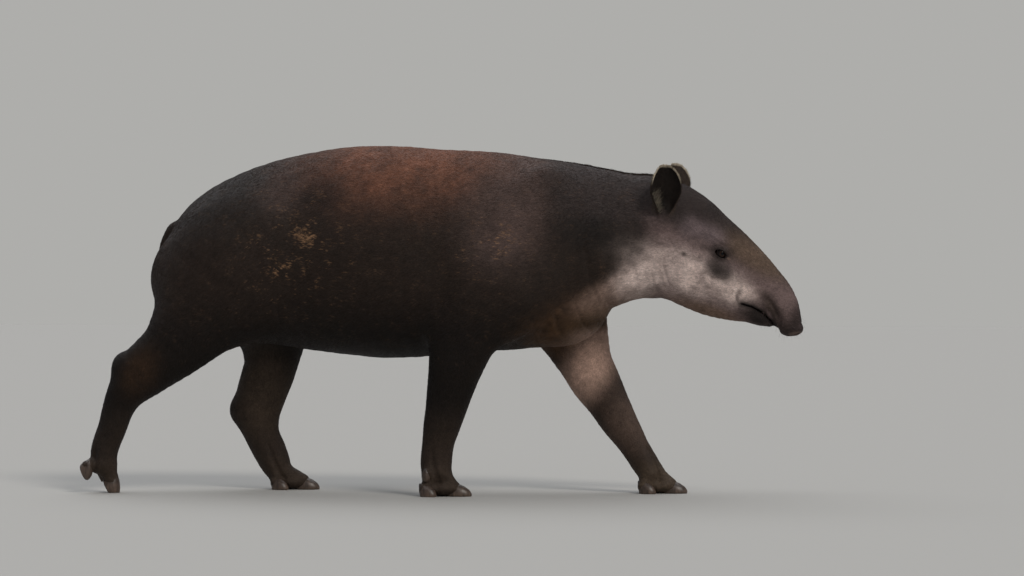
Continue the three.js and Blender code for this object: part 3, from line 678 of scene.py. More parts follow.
def surface_net(field, xs, ys, zs):
    """One vertex in each cell that the surface crosses, and one quad across each such grid edge. The field
    is read first at the corners of blocks, and then only in the blocks near the surface."""
    grid = [np.asarray(a) for a in (xs, ys, zs)]
    counts = [len(a) for a in grid]
    starts = [np.arange(0, n - 1, BLOCK) for n in counts]
    ends = [np.minimum(s + BLOCK, n - 1) for s, n in zip(starts, counts)]
    rims = [np.r_[s, n - 1] for s, n in zip(starts, counts)]
    corners = np.stack(np.meshgrid(*[a[r] for a, r in zip(grid, rims)], indexing="ij"), -1)
    value = field(corners.reshape(-1, 3)).reshape(corners.shape[:3])
    size = [a[e] - a[s] for a, s, e in zip(grid, starts, ends)]
    diagonal = np.sqrt(size[0][:, None, None] ** 2 + size[1][:, None] ** 2 + size[2] ** 2)
    eight = np.stack(
        [
            value[i : i + len(starts[0]), j : j + len(starts[1]), k : k + len(starts[2])]
            for i in (0, 1)
            for j in (0, 1)
            for k in (0, 1)
        ]
    )
    close = (np.abs(eight).min(0) < 1.3 * diagonal) | ((eight.min(0) < 0) != (eight.max(0) < 0))
    values = blocks(np.where(eight[0] < 0, -FAR, FAR), starts, counts).astype(np.float32)
    wanted = np.zeros(counts, bool)
    for i, j, k in np.argwhere(close):
        spans = [slice(starts[a][n], ends[a][n] + 1) for a, n in enumerate((i, j, k))]
        wanted[tuple(spans)] = True
    places = np.argwhere(wanted)
    points = np.stack([grid[a][places[:, a]] for a in range(3)], 1)
    shares = np.array_split(points, 1 + len(points) // POINTS_AT_ONCE)
    values[wanted] = np.concatenate([field(p) for p in shares])
    inside = values < 0
    filled = sum(
        inside[i : counts[0] - 1 + i, j : counts[1] - 1 + j, k : counts[2] - 1 + k].astype(np.int8)
        for i in (0, 1)
        for j in (0, 1)
        for k in (0, 1)
    )
    cells = np.argwhere((filled > 0) & (filled < 8))
    number = np.full([n - 1 for n in counts], -1)
    number[tuple(cells.T)] = np.arange(len(cells))
    total = np.zeros((len(cells), 3))
    crossings = np.zeros(len(cells))
    quads = []
    for axis in range(3):
        first, second = (axis + 1) % 3, (axis + 2) % 3
        for m in (0, 1):
            for n in (0, 1):
                a = cells.copy()
                a[:, first] += m
                a[:, second] += n
                b = a.copy()
                b[:, axis] += 1
                fa, fb = values[tuple(a.T)], values[tuple(b.T)]
                cut = (fa < 0) != (fb < 0)
                t = np.where(cut, fa / np.where(cut, fa - fb, 1), 0)[:, None]
                pa = np.stack([grid[c][a[:, c]] for c in range(3)], 1)
                pb = np.stack([grid[c][b[:, c]] for c in range(3)], 1)
                total += np.where(cut[:, None], pa + (pb - pa) * t, 0)
                crossings += cut
        low = np.take(inside, range(counts[axis] - 1), axis)
        high = np.take(inside, range(1, counts[axis]), axis)
        edges = np.argwhere(low != high)
        for other in (first, second):
            edges = edges[(edges[:, other] > 0) & (edges[:, other] < counts[other] - 1)]
        around = []
        for m, n in ((1, 1), (0, 1), (0, 0), (1, 0)):
            cell = edges.copy()
            cell[:, first] -= m
            cell[:, second] -= n
            around.append(number[tuple(cell.T)])
        quad = np.stack(around, 1)
        outward = low[tuple(edges.T)]
        quad[~outward] = quad[~outward][:, ::-1]
        quads.append(quad)
    return total / crossings[:, None], np.vstack(quads)


def slope(field, points):
    base = field(points)
    moves = SLOPE_STEP * np.eye(3)
    return base, np.stack([(field(points + m) - base) / SLOPE_STEP for m in moves], 1)


def settled(field, points):
    """Moves points onto the surface along the field's slope."""
    points = points.copy()
    for _ in range(SETTLE_ROUNDS):
        value, grade = slope(field, points)
        move = -(value / np.maximum((grade**2).sum(1), 0.1))[:, None] * grade
        length = np.linalg.norm(move, axis=1)
        points += move * np.minimum(1, SETTLE_CAP / np.maximum(length, 1e-9))[:, None]
    return points


def largest(points, quads):
    """Keeps the largest connected surface."""
    label = np.arange(len(points))
    while True:
        lowest = label[quads].min(1)
        before = label.copy()
        for c in range(4):
            np.minimum.at(label, quads[:, c], lowest)
        label = label[label]
        if (label == before).all():
            break
    names, counts = np.unique(label, return_counts=True)
    keep = label == names[counts.argmax()]
    renumber = np.cumsum(keep) - 1
    return points[keep], renumber[quads[keep[quads[:, 0]]]]


def make_object(name, points, faces, smooth=True):
    """A mesh object from drawn points and faces of one size."""
    mesh = bpy.data.meshes.new(name)
    mesh.vertices.add(len(points))
    mesh.vertices.foreach_set("co", placed(points).ravel())
    mesh.loops.add(faces.size)
    mesh.loops.foreach_set("vertex_index", faces.ravel())
    mesh.polygons.add(len(faces))
    mesh.polygons.foreach_set("loop_start", np.arange(0, faces.size, faces.shape[1]))
    mesh.polygons.foreach_set("use_smooth", np.full(len(faces), smooth))
    mesh.update(calc_edges=True)
    thing = bpy.data.objects.new(name, mesh)
    bpy.context.scene.collection.objects.link(thing)
    return thing


def paint(thing, colours):
    layer = thing.data.color_attributes.new("Hide", "FLOAT_COLOR", "POINT")
    rgba = np.ones((len(colours), 4))
    rgba[:, :3] = colours
    layer.data.foreach_set("color", rgba.ravel())


# Markings, shared by skin and coat, with painted light and shade among them: linear colours
CHARCOAL = (0.021, 0.0128, 0.009)
RED_BROWN_AND_HIGHLIGHT = (0.15, 0.058, 0.032)
PAINTED_SHEEN_GREY = (0.1, 0.064, 0.055)
PAINTED_BROW_SHEEN = (0.165, 0.122, 0.124)
NECK_GREY = (0.031, 0.0215, 0.0195)
BLACK_BROWN = (0.0055, 0.0032, 0.002)
PALE_CHEEK_AND_HIGHLIGHT = (0.7, 0.56, 0.51)
MOUSE_GREY = (0.17, 0.117, 0.11)
OLIVE_BROWN = (0.145, 0.096, 0.068)
DARK_NOSE = (0.036, 0.024, 0.022)
BLACK_SKIN_AND_SHADE = (0.016, 0.011, 0.0095)
JAW_TAN = (0.19, 0.118, 0.078)
THROAT_RUST = (0.075, 0.036, 0.015)
BRISKET = (0.034, 0.019, 0.009)
INNER_LEG = (0.5, 0.33, 0.26)
INNER_SHANK = (0.085, 0.058, 0.04)
PINK_GREY = (0.28, 0.185, 0.145)
SHANK_GREY = (0.038, 0.025, 0.018)
FOOT_BROWN = (0.075, 0.052, 0.035)
CREAM = (0.55, 0.47, 0.36)
TAN_AND_GLINT = (0.3, 0.165, 0.085)


def soft(points, at, half, tilt=0):
    """A soft-edged mask of a place in the side view, on both sides of the body."""
    u, _, w = turned(points, (at[0], 0, at[1]), tilt)
    return np.exp(-(((u / half[0]) ** 2 + (w / half[1]) ** 2) ** 1.5))


def mixed(colours, colour, share):
    return colours + np.clip(share, 0, 1)[:, None] * (np.array(colour) - colours)


# The colours of the hide: markings, with painted sheen, highlights and shade laid in among them
def markings(p):
    x, y, z = p.T
    cloud = noise(p, 90, 21)
    blotch = noise(p, 24, 22)
    grain = noise(p * [0.6, 1, 1], 5, 23)
    c = np.tile(CHARCOAL, (len(p), 1))
    # Red-brown hair over the back, laid on as a broad painted highlight from above: partly the coat's colour,
    # partly painted light
    c = mixed(c, RED_BROWN_AND_HIGHLIGHT, 0.9 * soft(p, (-85, 1130), (345, 190), 1) * (1 + 0.35 * cloud + 0.2 * blotch))
    # Painted sheen: a cool grey highlight on top of the croup
    c = mixed(c, PAINTED_SHEEN_GREY, 0.36 * soft(p, (-495, 985), (85, 75), 20))
    # Painted shade: the top of the rump darker
    c = mixed(c, BLACK_BROWN, 0.5 * soft(p, (-720, 960), (190, 130), 30))
    c = mixed(c, BLACK_BROWN, 0.6 * soft(p, (-368, 972), (75, 50), 10))
    # Painted sheen: a cool grey highlight over the shoulder
    c = mixed(c, PAINTED_SHEEN_GREY, (0.7 + 0.25 * cloud) * soft(p, (250, 915), (140, 190), -12))
    c = mixed(c, NECK_GREY, smoothstep(x, 330, 480) * smoothstep(z, 790, 920))
    # Painted shade: the trunk darker towards the belly
    c = mixed(c, BLACK_BROWN, 0.9 * smoothstep(-z, -700, -480) * (1 - smoothstep(x, 360, 460)))
    c = mixed(c, BLACK_BROWN, 0.75 * soft(p, (520, 848), (115, 62), -12))
    # Throat, chest and the inner sides of the forelegs
    c = mixed(c, THROAT_RUST, 0.9 * soft(p, (470, 545), (200, 85), 24) * (1 + 0.3 * blotch))
    c = mixed(c, BRISKET, 0.85 * soft(p, (510, 545), (110, 62), 20) * smoothstep(-np.abs(y), -160, -120))
    c = mixed(c, JAW_TAN, 0.35 * soft(p, (580, 612), (120, 20), 18))
    c = mixed(c, PINK_GREY, 0.85 * soft(p, (585, 664), (130, 38), 25) * (1 + 0.3 * blotch))
    inner = smoothstep(-np.abs(y), -185, -150)
    c = mixed(c, INNER_LEG, 0.9 * soft(p, (465, 405), (75, 180), -32) * inner * smoothstep(-z, -560, -515))
    inner_shank = soft(p, (-625, 300), (95, 150)) * inner
    c = mixed(c, INNER_SHANK, 0.9 * inner_shank)
    c = mixed(c, SHANK_GREY, 0.8 * smoothstep(-z, -330, -150) * (1 - 0.8 * inner_shank))
    c = mixed(c, INNER_LEG, 0.12 * soft(p, (590, 230), (90, 120), -30) * inner)
    c = mixed(c, FOOT_BROWN, (0.25 + 0.65 * (x > 400)) * smoothstep(-z, -130, -60))
    c = mixed(c, THROAT_RUST, 0.35 * soft(p, (-960, 400), (60, 90), -30))
    c = mixed(c, BLACK_BROWN, 0.45 * soft(p, (-1090, 200), (60, 110)))
    # Head
    above_legs = smoothstep(z, 380, 450)
    on_head = smoothstep(x, 660, 760) * above_legs
    c = mixed(c, MOUSE_GREY, on_head * smoothstep(-z + 0.55 * (760 - x), -930, -850))
    pale = soft(p, (820, 716), (175, 70), -20) + soft(p, (655, 690), (75, 48), 20)
    # Along the ridge of the cheek the pale skin is made paler still: a painted highlight over the pale cheek
    pale += soft(p, (965, 668), (75, 40), -30)
    c = mixed(c, PALE_CHEEK_AND_HIGHLIGHT, pale * (0.85 + 0.35 * blotch + 0.2 * cloud))
    c = mixed(c, JAW_TAN, 0.75 * soft(p, (880, 590), (130, 34), -20))
    c = mixed(c, OLIVE_BROWN, 0.85 * soft(p, (1030, 775), (120, 45), -33))
    c = mixed(c, NECK_GREY, 0.8 * soft(p, (800, 915), (100, 60), -24))
    # Painted sheen: lighter cool grey lobes on the brow
    brow = 0.75 * soft(p, (892, 848), (62, 34), -34) + 0.6 * soft(p, (828, 868), (34, 40), -20)
    c = mixed(c, PAINTED_BROW_SHEEN, brow)
    c = mixed(c, NECK_GREY, 0.45 * soft(p, (866, 905), (60, 22), -34))
    c = mixed(c, DARK_NOSE, smoothstep(x + 0.6 * (600 - z), 1110, 1185) * above_legs)
    # Painted shade in the groove between the upper lip and the nose
    c = mixed(c, SHANK_GREY, 0.85 * soft(p, (1086, 606), (26, 62), 30))
    c = mixed(c, BLACK_BROWN, 0.95 * soft(p, (1046, 574), (80, 36), -30))
    # Painted shade along the slit of the mouth
    away, _ = line_distance(x, z, MOUTH_LINE)
    c = mixed(c, BLACK_BROWN, np.exp(-((away / 8) ** 2)) * smoothstep(x, 930, 990))
    # Painted highlight: a small lighter spot on the tip of the upper lip
    c = mixed(c, MOUSE_GREY, 0.8 * soft(p, (1076, 588), (7, 14), 30))
    # Black skin round the eye and two dark marks behind it; painted shade in the bag under the eye and in the
    # crease at the corner of the mouth
    for at, half, share in (
        ((926, 783), (36, 27), 0.97),
        ((925, 726), (50, 32), 0.86),
        ((918, 742), (38, 26), 0.5),
        ((812, 781), (10, 8), 0.8),
        ((880, 800), (30, 12), 0.5),
        ((981, 650), (7, 26), 0.5),
    ):
        c = mixed(c, BLACK_SKIN_AND_SHADE, share * soft(p, at, half, -25))
    c = mixed(c, PINK_GREY, 0.75 * soft(p, (951, 766), (6, 3.5), -30))
    # Painted highlight: a pale pink-grey spot on the rim of the nose
    c = mixed(c, PINK_GREY, 0.45 * soft(p, (1160, 526), (22, 6), 8) * (1 + 0.8 * blotch + 0.5 * grain))
    # Ears: dark, with a cream rim
    for name in EARS:
        chosen = np.flatnonzero(ear(p, name) < 12)
        if len(chosen) == 0:
            continue
        u, v, _, facing = ear_place(p[chosen], name)
        tone = mixed(np.tile(SHANK_GREY, (len(chosen), 1)), BLACK_BROWN, (facing > 0) * 0.9)
        rim = smoothstep(np.hypot(np.abs(u) ** 6, np.maximum(0, v - 0.35) / 0.62), 0.95, 1.02)
        tone = mixed(tone, CREAM, rim * smoothstep(v, 0.62, 0.85))
        share = smoothstep(v, 0.02, 0.2)[:, None]
        c[chosen] += share * (tone - c[chosen])
    # Crest along the nape
    crest = smoothstep(-np.abs(y), -16, -5) * smoothstep(z, 930, 990)
    c = mixed(c, BLACK_BROWN, 0.35 * crest * smoothstep(x, 250, 420) * smoothstep(-x, -830, -700))
    # Tan flecks on flank and shoulder, partly painted glints of light on the glossy coat
    thick = soft(p, (-391, 843), (55, 42), 30) + soft(p, (-473, 750), (48, 52))
    thick += 0.9 * soft(p, (237, 811), (38, 52))
    fleck = smoothstep(noise(p * [0.7, 1, 1], 2.6, 24) + 0.4 * blotch + 0.4 * thick, 0.55, 0.95)
    where = 0.5 * soft(p, (-420, 800), (190, 190), 60) + 0.5 * soft(p, (180, 840), (120, 120))
    where += 0.4 * thick + 0.1
    c = mixed(c, TAN_AND_GLINT, (0.75 + 0.25 * grain) * fleck * where * (1 - on_head) * smoothstep(z, 350, 500))
    return np.clip(c * (1 + 0.22 * grain + 0.12 * blotch)[:, None], 0.001, 1)


# Materials
def nodes_of(name):
    material = bpy.data.materials.new(name)
    material.use_nodes = True
    tree = material.node_tree
    return material, tree.nodes, tree.links.new, tree.nodes["Principled BSDF"]


def node(nodes, kind, **values):
    made = nodes.new(kind)
    for key, value in values.items():
        if hasattr(made, key):
            setattr(made, key, value)
        else:
            made.inputs[key.replace("_", " ")].default_value = value
    return made


def painted(name, grain, shade, stretch=None):
    """A material of the painted colour, lighter and darker by a grain that may be stretched along an axis."""
    material, nodes, link, shader = nodes_of(name)
    colour = node(nodes, "ShaderNodeAttribute", attribute_name="Hide")
    place = node(nodes, "ShaderNodeTexCoord").outputs["Object"]
    noise_node = node(nodes, "ShaderNodeTexNoise", **grain)
    if stretch:
        mapping = node(nodes, "ShaderNodeMapping", Scale=stretch)
        link(place, mapping.inputs["Vector"])
        link(mapping.outputs["Vector"], noise_node.inputs["Vector"])
    else:
        link(place, noise_node.inputs["Vector"])
    uneven = noise_node.outputs["Fac"]
    range_node = node(nodes, "ShaderNodeMapRange", **shade)
    link(uneven, range_node.inputs["Value"])
    tinted = node(nodes, "ShaderNodeVectorMath", operation="SCALE")
    link(colour.outputs["Color"], tinted.inputs[0])
    link(range_node.outputs["Result"], tinted.inputs["Scale"])
    link(tinted.outputs[0], shader.inputs["Base Color"])
    return material, nodes, link, shader, place, uneven


def set_sockets(shader, **values):
    for key, value in values.items():
        shader.inputs[key.replace("_", " ")].default_value = value


def raise_bump(nodes, link, shader, height, strength, distance):
    raised = node(nodes, "ShaderNodeBump", Strength=strength, Distance=distance)
    link(height, raised.inputs["Height"])
    link(raised.outputs["Normal"], shader.inputs["Normal"])


SHEEN_TINT = (0.82, 0.8, 0.9, 1)
CONTRAST = {"From_Min": 0.3, "From_Max": 0.7}


def hide_material():
    """Hide with fine grain in colour, gloss and height, and pores."""
    grain = {"Scale": 420.0, "Detail": 6.0, "Roughness": 0.65}
    shade = {**CONTRAST, "To_Min": 0.62, "To_Max": 1.45}
    material, nodes, link, shader, place, uneven = painted("hide", grain, shade, (0.4, 1, 0.75))
    pores = node(nodes, "ShaderNodeTexVoronoi", Scale=0.8 * grain["Scale"], feature="DISTANCE_TO_EDGE")
    link(place, pores.inputs["Vector"])
    gloss = node(nodes, "ShaderNodeMapRange", To_Min=0.7, To_Max=0.46)
    link(uneven, gloss.inputs["Value"])
    link(gloss.outputs["Result"], shader.inputs["Roughness"])
    height = node(nodes, "ShaderNodeMath", operation="ADD")
    link(uneven, height.inputs[0])
    link(pores.outputs["Distance"], height.inputs[1])
    raise_bump(nodes, link, shader, height.outputs[0], 0.9, 0.0012)
    set_sockets(shader, Sheen_Weight=0.03, Sheen_Roughness=0.45, Sheen_Tint=SHEEN_TINT)
    set_sockets(shader, Specular_IOR_Level=0.2)
    return material


def coat_material():
    grain = {"Scale": 900.0, "Detail": 3.0}
    material, _, _, shader, _, _ = painted("coat", grain, {"To_Min": 0.7, "To_Max": 1.3})
    set_sockets(shader, Roughness=0.55, Specular_IOR_Level=0.12, Sheen_Weight=0.02, Sheen_Tint=SHEEN_TINT)
    return material


def horn_material():
    grain = {"Scale": 160.0, "Detail": 5.0}
    shade = {**CONTRAST, "To_Min": 0.6, "To_Max": 1.5}
    material, nodes, link, shader, _, uneven = painted("horn", grain, shade, (1, 1, 0.18))
    raise_bump(nodes, link, shader, uneven, 0.6, 0.0006)
    set_sockets(shader, Roughness=0.42)
    return material


def eye_material():
    grain = {"Scale": 700.0, "Detail": 4.0}
    material, _, _, shader, _, _ = painted("eye", grain, {"To_Min": 0.6, "To_Max": 1.5})
    set_sockets(shader, Roughness=0.3, Specular_IOR_Level=0.05, Coat_Weight=0.3, Coat_Roughness=0.03)
    return material


# Skin
def build_skin():
    xs = graded(
        (-1215, -1040, 5.5),
        (-1040, -640, 9),
        (-640, -430, 6),
        (-430, -100, 9),
        (-100, 130, 6),
        (130, 590, 9),
        (590, 706, 6),
        (706, 800, 2.3),
        (800, 890, 4),
        (890, 962, 2.6),
        (962, 1196, 3.6),
    )
    half = graded((0, 24, 3), (24, 70, 4.6), (70, 164, 2.3), (164, 272, 6))
    ys = np.r_[-half[:0:-1], half]
    zs = graded(
        (-3, 170, 5),
        (170, 470, 9),
        (470, 540, 5),
        (540, 630, 3.2),
        (630, 752, 4.5),
        (752, 814, 2.6),
        (814, 885, 4.5),
        (885, 1084, 2.4),
        (1084, 1150, 5),
    )

    def rough(points):
        f = flesh(points) + skin_depth(points)
        return np.maximum(f, FLOOR_CLEARANCE - points[:, 2])

    points, quads = surface_net(rough, xs, ys, zs)
    points, quads = largest(points, quads)
    points = np.concatenate([settled(skin, p) for p in np.array_split(points, 4)])
    return points, quads


def mesh_normals(points, quads):
    a, b, c, d = points[quads].transpose(1, 0, 2)
    face = np.cross(c - a, d - b)
    out = np.zeros_like(points)
    for corner in range(4):
        np.add.at(out, quads[:, corner], face)
    return out / np.maximum(np.linalg.norm(out, axis=1), 1e-9)[:, None]


skin_points, skin_quads = build_skin()
normals = mesh_normals(skin_points, skin_quads)
hide = make_object("hide", skin_points, skin_quads)
paint(hide, markings(skin_points))
hide.data.materials.append(hide_material())
FLESH = ["torso", "tail", "neck", "head", "snout", "ear_left", "ear_right"] + [f"leg_{n}" for n in LEGS]
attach(hide, "root")
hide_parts(*FLESH)


# Coat, in pieces that meet where body, neck, head and legs part
BODY_HALVES_MEET = -200
NECK_STARTS = 440
HEAD_PIECE_STARTS = 706
LEGS_TOP = 470
FORELEGS_START = -250
FORELEGS_END = 850
ABOVE_FEET = 400
TUFT_SUNK = 0.15
TUFT_RIDGE = 0.12  # as a share of its width
AREA_PER_TUFT = {"body": 19, "head": 7, "snout": 5, "leg": 13, "foot": 8, "ear": 7}


def coat_style(p, on_ear):
    """Length, width, lift and the area of skin to a tuft, smoothly from place to place."""
    x, _, z = p.T
    head_share = smoothstep(x, 620, 780) * (z > ABOVE_FEET)
    snout_share = smoothstep(x - 0.5 * (z - 650), 960, 1120) * (z > ABOVE_FEET)
    leg_share = smoothstep(-z, -560, -400) * (1 - smoothstep(x, 800, 850))
    foot_share = smoothstep(-z, -230, -90)
    out = np.tile([10.0, 1.6, 0.7, AREA_PER_TUFT["body"]], (len(p), 1))
    for share, style in (
        (leg_share, (8.0, 1.4, 0.7, AREA_PER_TUFT["leg"])),
        (foot_share, (5.5, 1.2, 0.5, AREA_PER_TUFT["foot"])),
        (head_share, (7.0, 1.25, 0.7, AREA_PER_TUFT["head"])),
        (snout_share, (3.8, 0.85, 0.35, AREA_PER_TUFT["snout"])),
        (on_ear * 1.0, (6.0, 1.1, 0.6, AREA_PER_TUFT["ear"])),
    ):
        out += share[:, None] * (np.array(style) - out)
    return out.T


def lie(p, on_ear):
    """The way the coat lies: back along the body, down the legs, up the face and up the ears."""
    x, y, z = p.T
    way = np.tile([-1.0, 0, -0.16], (len(p), 1))
    for share, turn in (
        (smoothstep(-x, 380, 720) * 0.7, (-0.55, 0, -0.85)),
        (smoothstep(-z, -760, -520) * 0.6, (-0.8, 0, -0.6)),
        (smoothstep(-z, -560, -420), (-0.12, 0, -1)),
        (smoothstep(x, 690, 800) * smoothstep(z, 480, 500), (-0.86, 0, 0.42)),
        (smoothstep(x, 900, 1050), (-0.8, 0, 0.6)),
    ):
        way += share[:, None] * (np.array(turn) - way)
    up = np.where(y[:, None] > 0, ear_axes(1)[2], ear_axes(-1)[2])
    return np.where(on_ear[:, None], up, way)


def unwrap(p, part):
    """The skin's own unwrap: round and along a leg, an ear, the head or the trunk."""
    x, y, z = p.T
    if part in LEGS:
        line = refined(LEGS[part]["stations"])[::-1]
        mid_x = np.interp(z, line[:, 2], line[:, 0])
        mid_y = np.interp(z, line[:, 2], line[:, 1])
        u, v = np.arctan2(y - mid_y, x - mid_x), z
    elif part in EARS:
        turn, up, _, facing = ear_place(p, part)
        u, v = turn + 2.2 * facing, up
    elif part.startswith("head"):
        along, _, over = turned(p, (690, 0, 838), -32)
        u, v = along, np.arctan2(y, over)
    else:
        u, v = x, np.arctan2(y, z - 790)
    uv = np.stack([u, v], 1)
    low, high = uv.min(0), uv.max(0)
    return 0.01 + 0.98 * (uv - low) / (high - low)


PATCH = 0.0015  # half the width of a tuft's place in the unwrap
TUFT_UV = np.array([(-PATCH, -PATCH), (PATCH, -PATCH), (0, 0), (0, PATCH)])
TUFT_FACES = np.array([(0, 2, 3), (1, 3, 2), (0, 3, 1), (0, 1, 2)])


def add_uv(thing, corners):
    layer = thing.data.uv_layers.new(name="OFBake")
    layer.data.foreach_set("uv", corners.astype(np.float32).ravel())


def spread(points, quads, surface):
    """Tuft roots over the skin: their place, the skin's normal there, and if they are on an ear."""
    triangles = np.vstack([quads[:, [0, 1, 2]], quads[:, [0, 2, 3]]])
    a, b, c = points[triangles].transpose(1, 0, 2)
    area = 0.5 * np.linalg.norm(np.cross(b - a, c - a), axis=1)
    middle = (a + b + c) / 3
    on_ear = np.minimum(ear(middle, "left"), ear(middle, "right")) < 3
    area_per_tuft = coat_style(middle, on_ear)[3]
    wanted = area / area_per_tuft
    wanted[middle[:, 2] < FLOOR_CLEARANCE + 1] = 0
    count = np.floor(wanted + random.random(len(wanted))).astype(int)
    chosen = np.repeat(np.arange(len(triangles)), count)
    u, v = random.random((2, len(chosen)))
    flip = u + v > 1
    u[flip], v[flip] = 1 - u[flip], 1 - v[flip]
    weights = np.stack([1 - u - v, u, v], 1)[..., None]
    corners = triangles[chosen]
    roots = (points[corners] * weights).sum(1)
    ups = (surface[corners] * weights).sum(1)
    return roots, unit(ups), on_ear[chosen]


def tuft_mesh(roots, ups, on_ear):
    """Flat wedges: two corners and a ridge at the root, and a tip."""
    count = len(roots)
    length, width, lift, _ = coat_style(roots, on_ear)
    way = lie(roots, on_ear)
    way = unit(way - (way * ups).sum(1)[:, None] * ups)
    aside = np.cross(ups, way)
    swing = 0.2 * random.standard_normal(count) + 0.14 * noise(roots, 110, 41)
    way = np.cos(swing)[:, None] * way + np.sin(swing)[:, None] * aside
    aside = np.cross(ups, way)
    length = length * random.uniform(0.65, 1.3, count)
    width = width * random.uniform(0.7, 1.25, count)
    lift = lift * random.uniform(0.5, 1.5, count)
    sunk = roots - TUFT_SUNK * ups
    corners = np.stack(
        [
            sunk + (0.5 * width)[:, None] * aside,
            sunk - (0.5 * width)[:, None] * aside,
            roots + (TUFT_RIDGE * width)[:, None] * ups,
            roots + length[:, None] * way + lift[:, None] * ups,
        ],
        1,
    )
    faces = 4 * np.arange(count)[:, None, None] + TUFT_FACES
    return corners.reshape(-1, 3), faces.reshape(-1, 3)


def parts_of(p, on_ear):
    """The coat piece that each root belongs to."""
    x, y, z = p.T
    side = np.where(y > 0, "left", "right")
    end = np.where(x > BODY_HALVES_MEET, "front", "hind")
    out = np.char.add(np.char.add(end, "_body_"), side)
    out = np.where((x > NECK_STARTS) & (z > LEGS_TOP), "neck", out)
    out = np.where(x > HEAD_PIECE_STARTS, np.char.add("head_", side), out)
    foreleg = np.where(y > 0, "front_left", "front_right")
    hind_leg = np.where(y > 0, "hind_left", "hind_right")
    legs = np.where(x > FORELEGS_START, foreleg, hind_leg)
    out = np.where((z < LEGS_TOP) & (x < FORELEGS_END), legs, out)
    return np.where(on_ear, side, out)


def build_coat():
    roots, ups, on_ear = spread(skin_points, skin_quads, normals)
    colours = markings(roots)
    colours *= random.lognormal(0, 0.22, len(roots))[:, None]
    part = parts_of(roots, on_ear)
    material = coat_material()
    for name in np.unique(part):
        chosen = np.flatnonzero(part == name)
        points, faces = tuft_mesh(roots[chosen], ups[chosen], on_ear[chosen])
        label = f"ear_{name}" if name in EARS else name
        coat = make_object(f"coat_{label}", points, faces, smooth=False)
        tones = colours[chosen][:, None] * np.array([0.8, 0.8, 0.9, 1.15])[:, None]
        paint(coat, np.clip(tones, 0, 1).reshape(-1, 3))
        places = unwrap(roots[chosen], str(name))[:, None] + TUFT_UV
        add_uv(coat, places[:, TUFT_FACES.ravel()].reshape(-1, 2))
        coat.data.materials.append(material)
        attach(coat, "root")


FRINGE_HAIRS = 900  # for each ear
CUP_HAIRS = 150  # for each ear
LASH_HAIRS = 34  # for each eye
CREST_HAIRS = 1500
CREST_FROM = 1000.0  # height from which the bristles' roots are lowered onto the skin


def lock_mesh(roots, ways, ups, length, width, droop):
    """Thin three-sided hairs that bend from the way they start towards where they droop."""
    count = len(roots)
    aside = unit(np.cross(ways, ups))
    rings = []
    for k in range(HAIR_STEPS):
        t = k / HAIR_STEPS
        middle = roots + length[:, None] * (t * ways + t * t * droop)
        for turn in (0, 2 * np.pi / 3, 4 * np.pi / 3):
            out = math.cos(turn) * ups + math.sin(turn) * aside
            rings.append(middle + (0.5 * width * (1 - 0.75 * t))[:, None] * out)
    rings.append(roots + length[:, None] * (ways + droop))
    points = np.stack(rings, 1)
    faces = [(0, 1, 2)]
    for k in range(HAIR_STEPS - 1):
        for i in range(3):
            a, b = 3 * k + i, 3 * k + (i + 1) % 3
            faces += [(a, a + 3, b), (b, a + 3, b + 3)]
    tip = 3 * HAIR_STEPS
    last = tip - 3
    faces += [(last + i, tip, last + (i + 1) % 3) for i in range(3)]
    faces = (tip + 1) * np.arange(count)[:, None, None] + np.array(faces)
    return points.reshape(-1, 3), faces.reshape(-1, 3)


def add_locks(name, roots, ways, ups, length, width, droop, colours):
    count = len(roots)
    length = length * random.uniform(0.7, 1.25, count)
    width = width * random.uniform(0.8, 1.2, count)
    points, faces = lock_mesh(roots, ways, ups, length, width, droop)
    thing = make_object(name, points, faces, smooth=False)
    each = len(points) // count
    paint(thing, np.repeat(colours, each, axis=0))
    low, high = roots.min(0), roots.max(0)
    place = 0.01 + 0.98 * (roots - low)[:, [0, 2]] / (high - low)[[0, 2]]
    corners = np.repeat(place, faces.size // count, axis=0)
    wedge = np.tile([(-PATCH, -PATCH), (PATCH, -PATCH), (0, PATCH)], (len(faces), 1))
    add_uv(thing, corners + wedge)
    thing.data.materials.append(bpy.data.materials["coat"])
    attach(thing, "root")


def ear_point(name, u, v, layer):
    """A place on an ear's sheet: layer 1 is its back, -1 its cup, 0 between them."""
    root, length = np.array(EARS[name]["root"], float), EARS[name]["length"]
    across, opens, up = ear_axes(math.copysign(1, root[1]))
    curve, bend = ear_curve(v)
    radius = curve + 0.5 * layer * ear_thickness(u, v)
    return (
        root
        + (v * length)[:, None] * up
        + (radius * np.sin(u * bend))[:, None] * across
        + (curve - radius * np.cos(u * bend) - EAR_ROOT_RADIUS)[:, None] * opens
    )


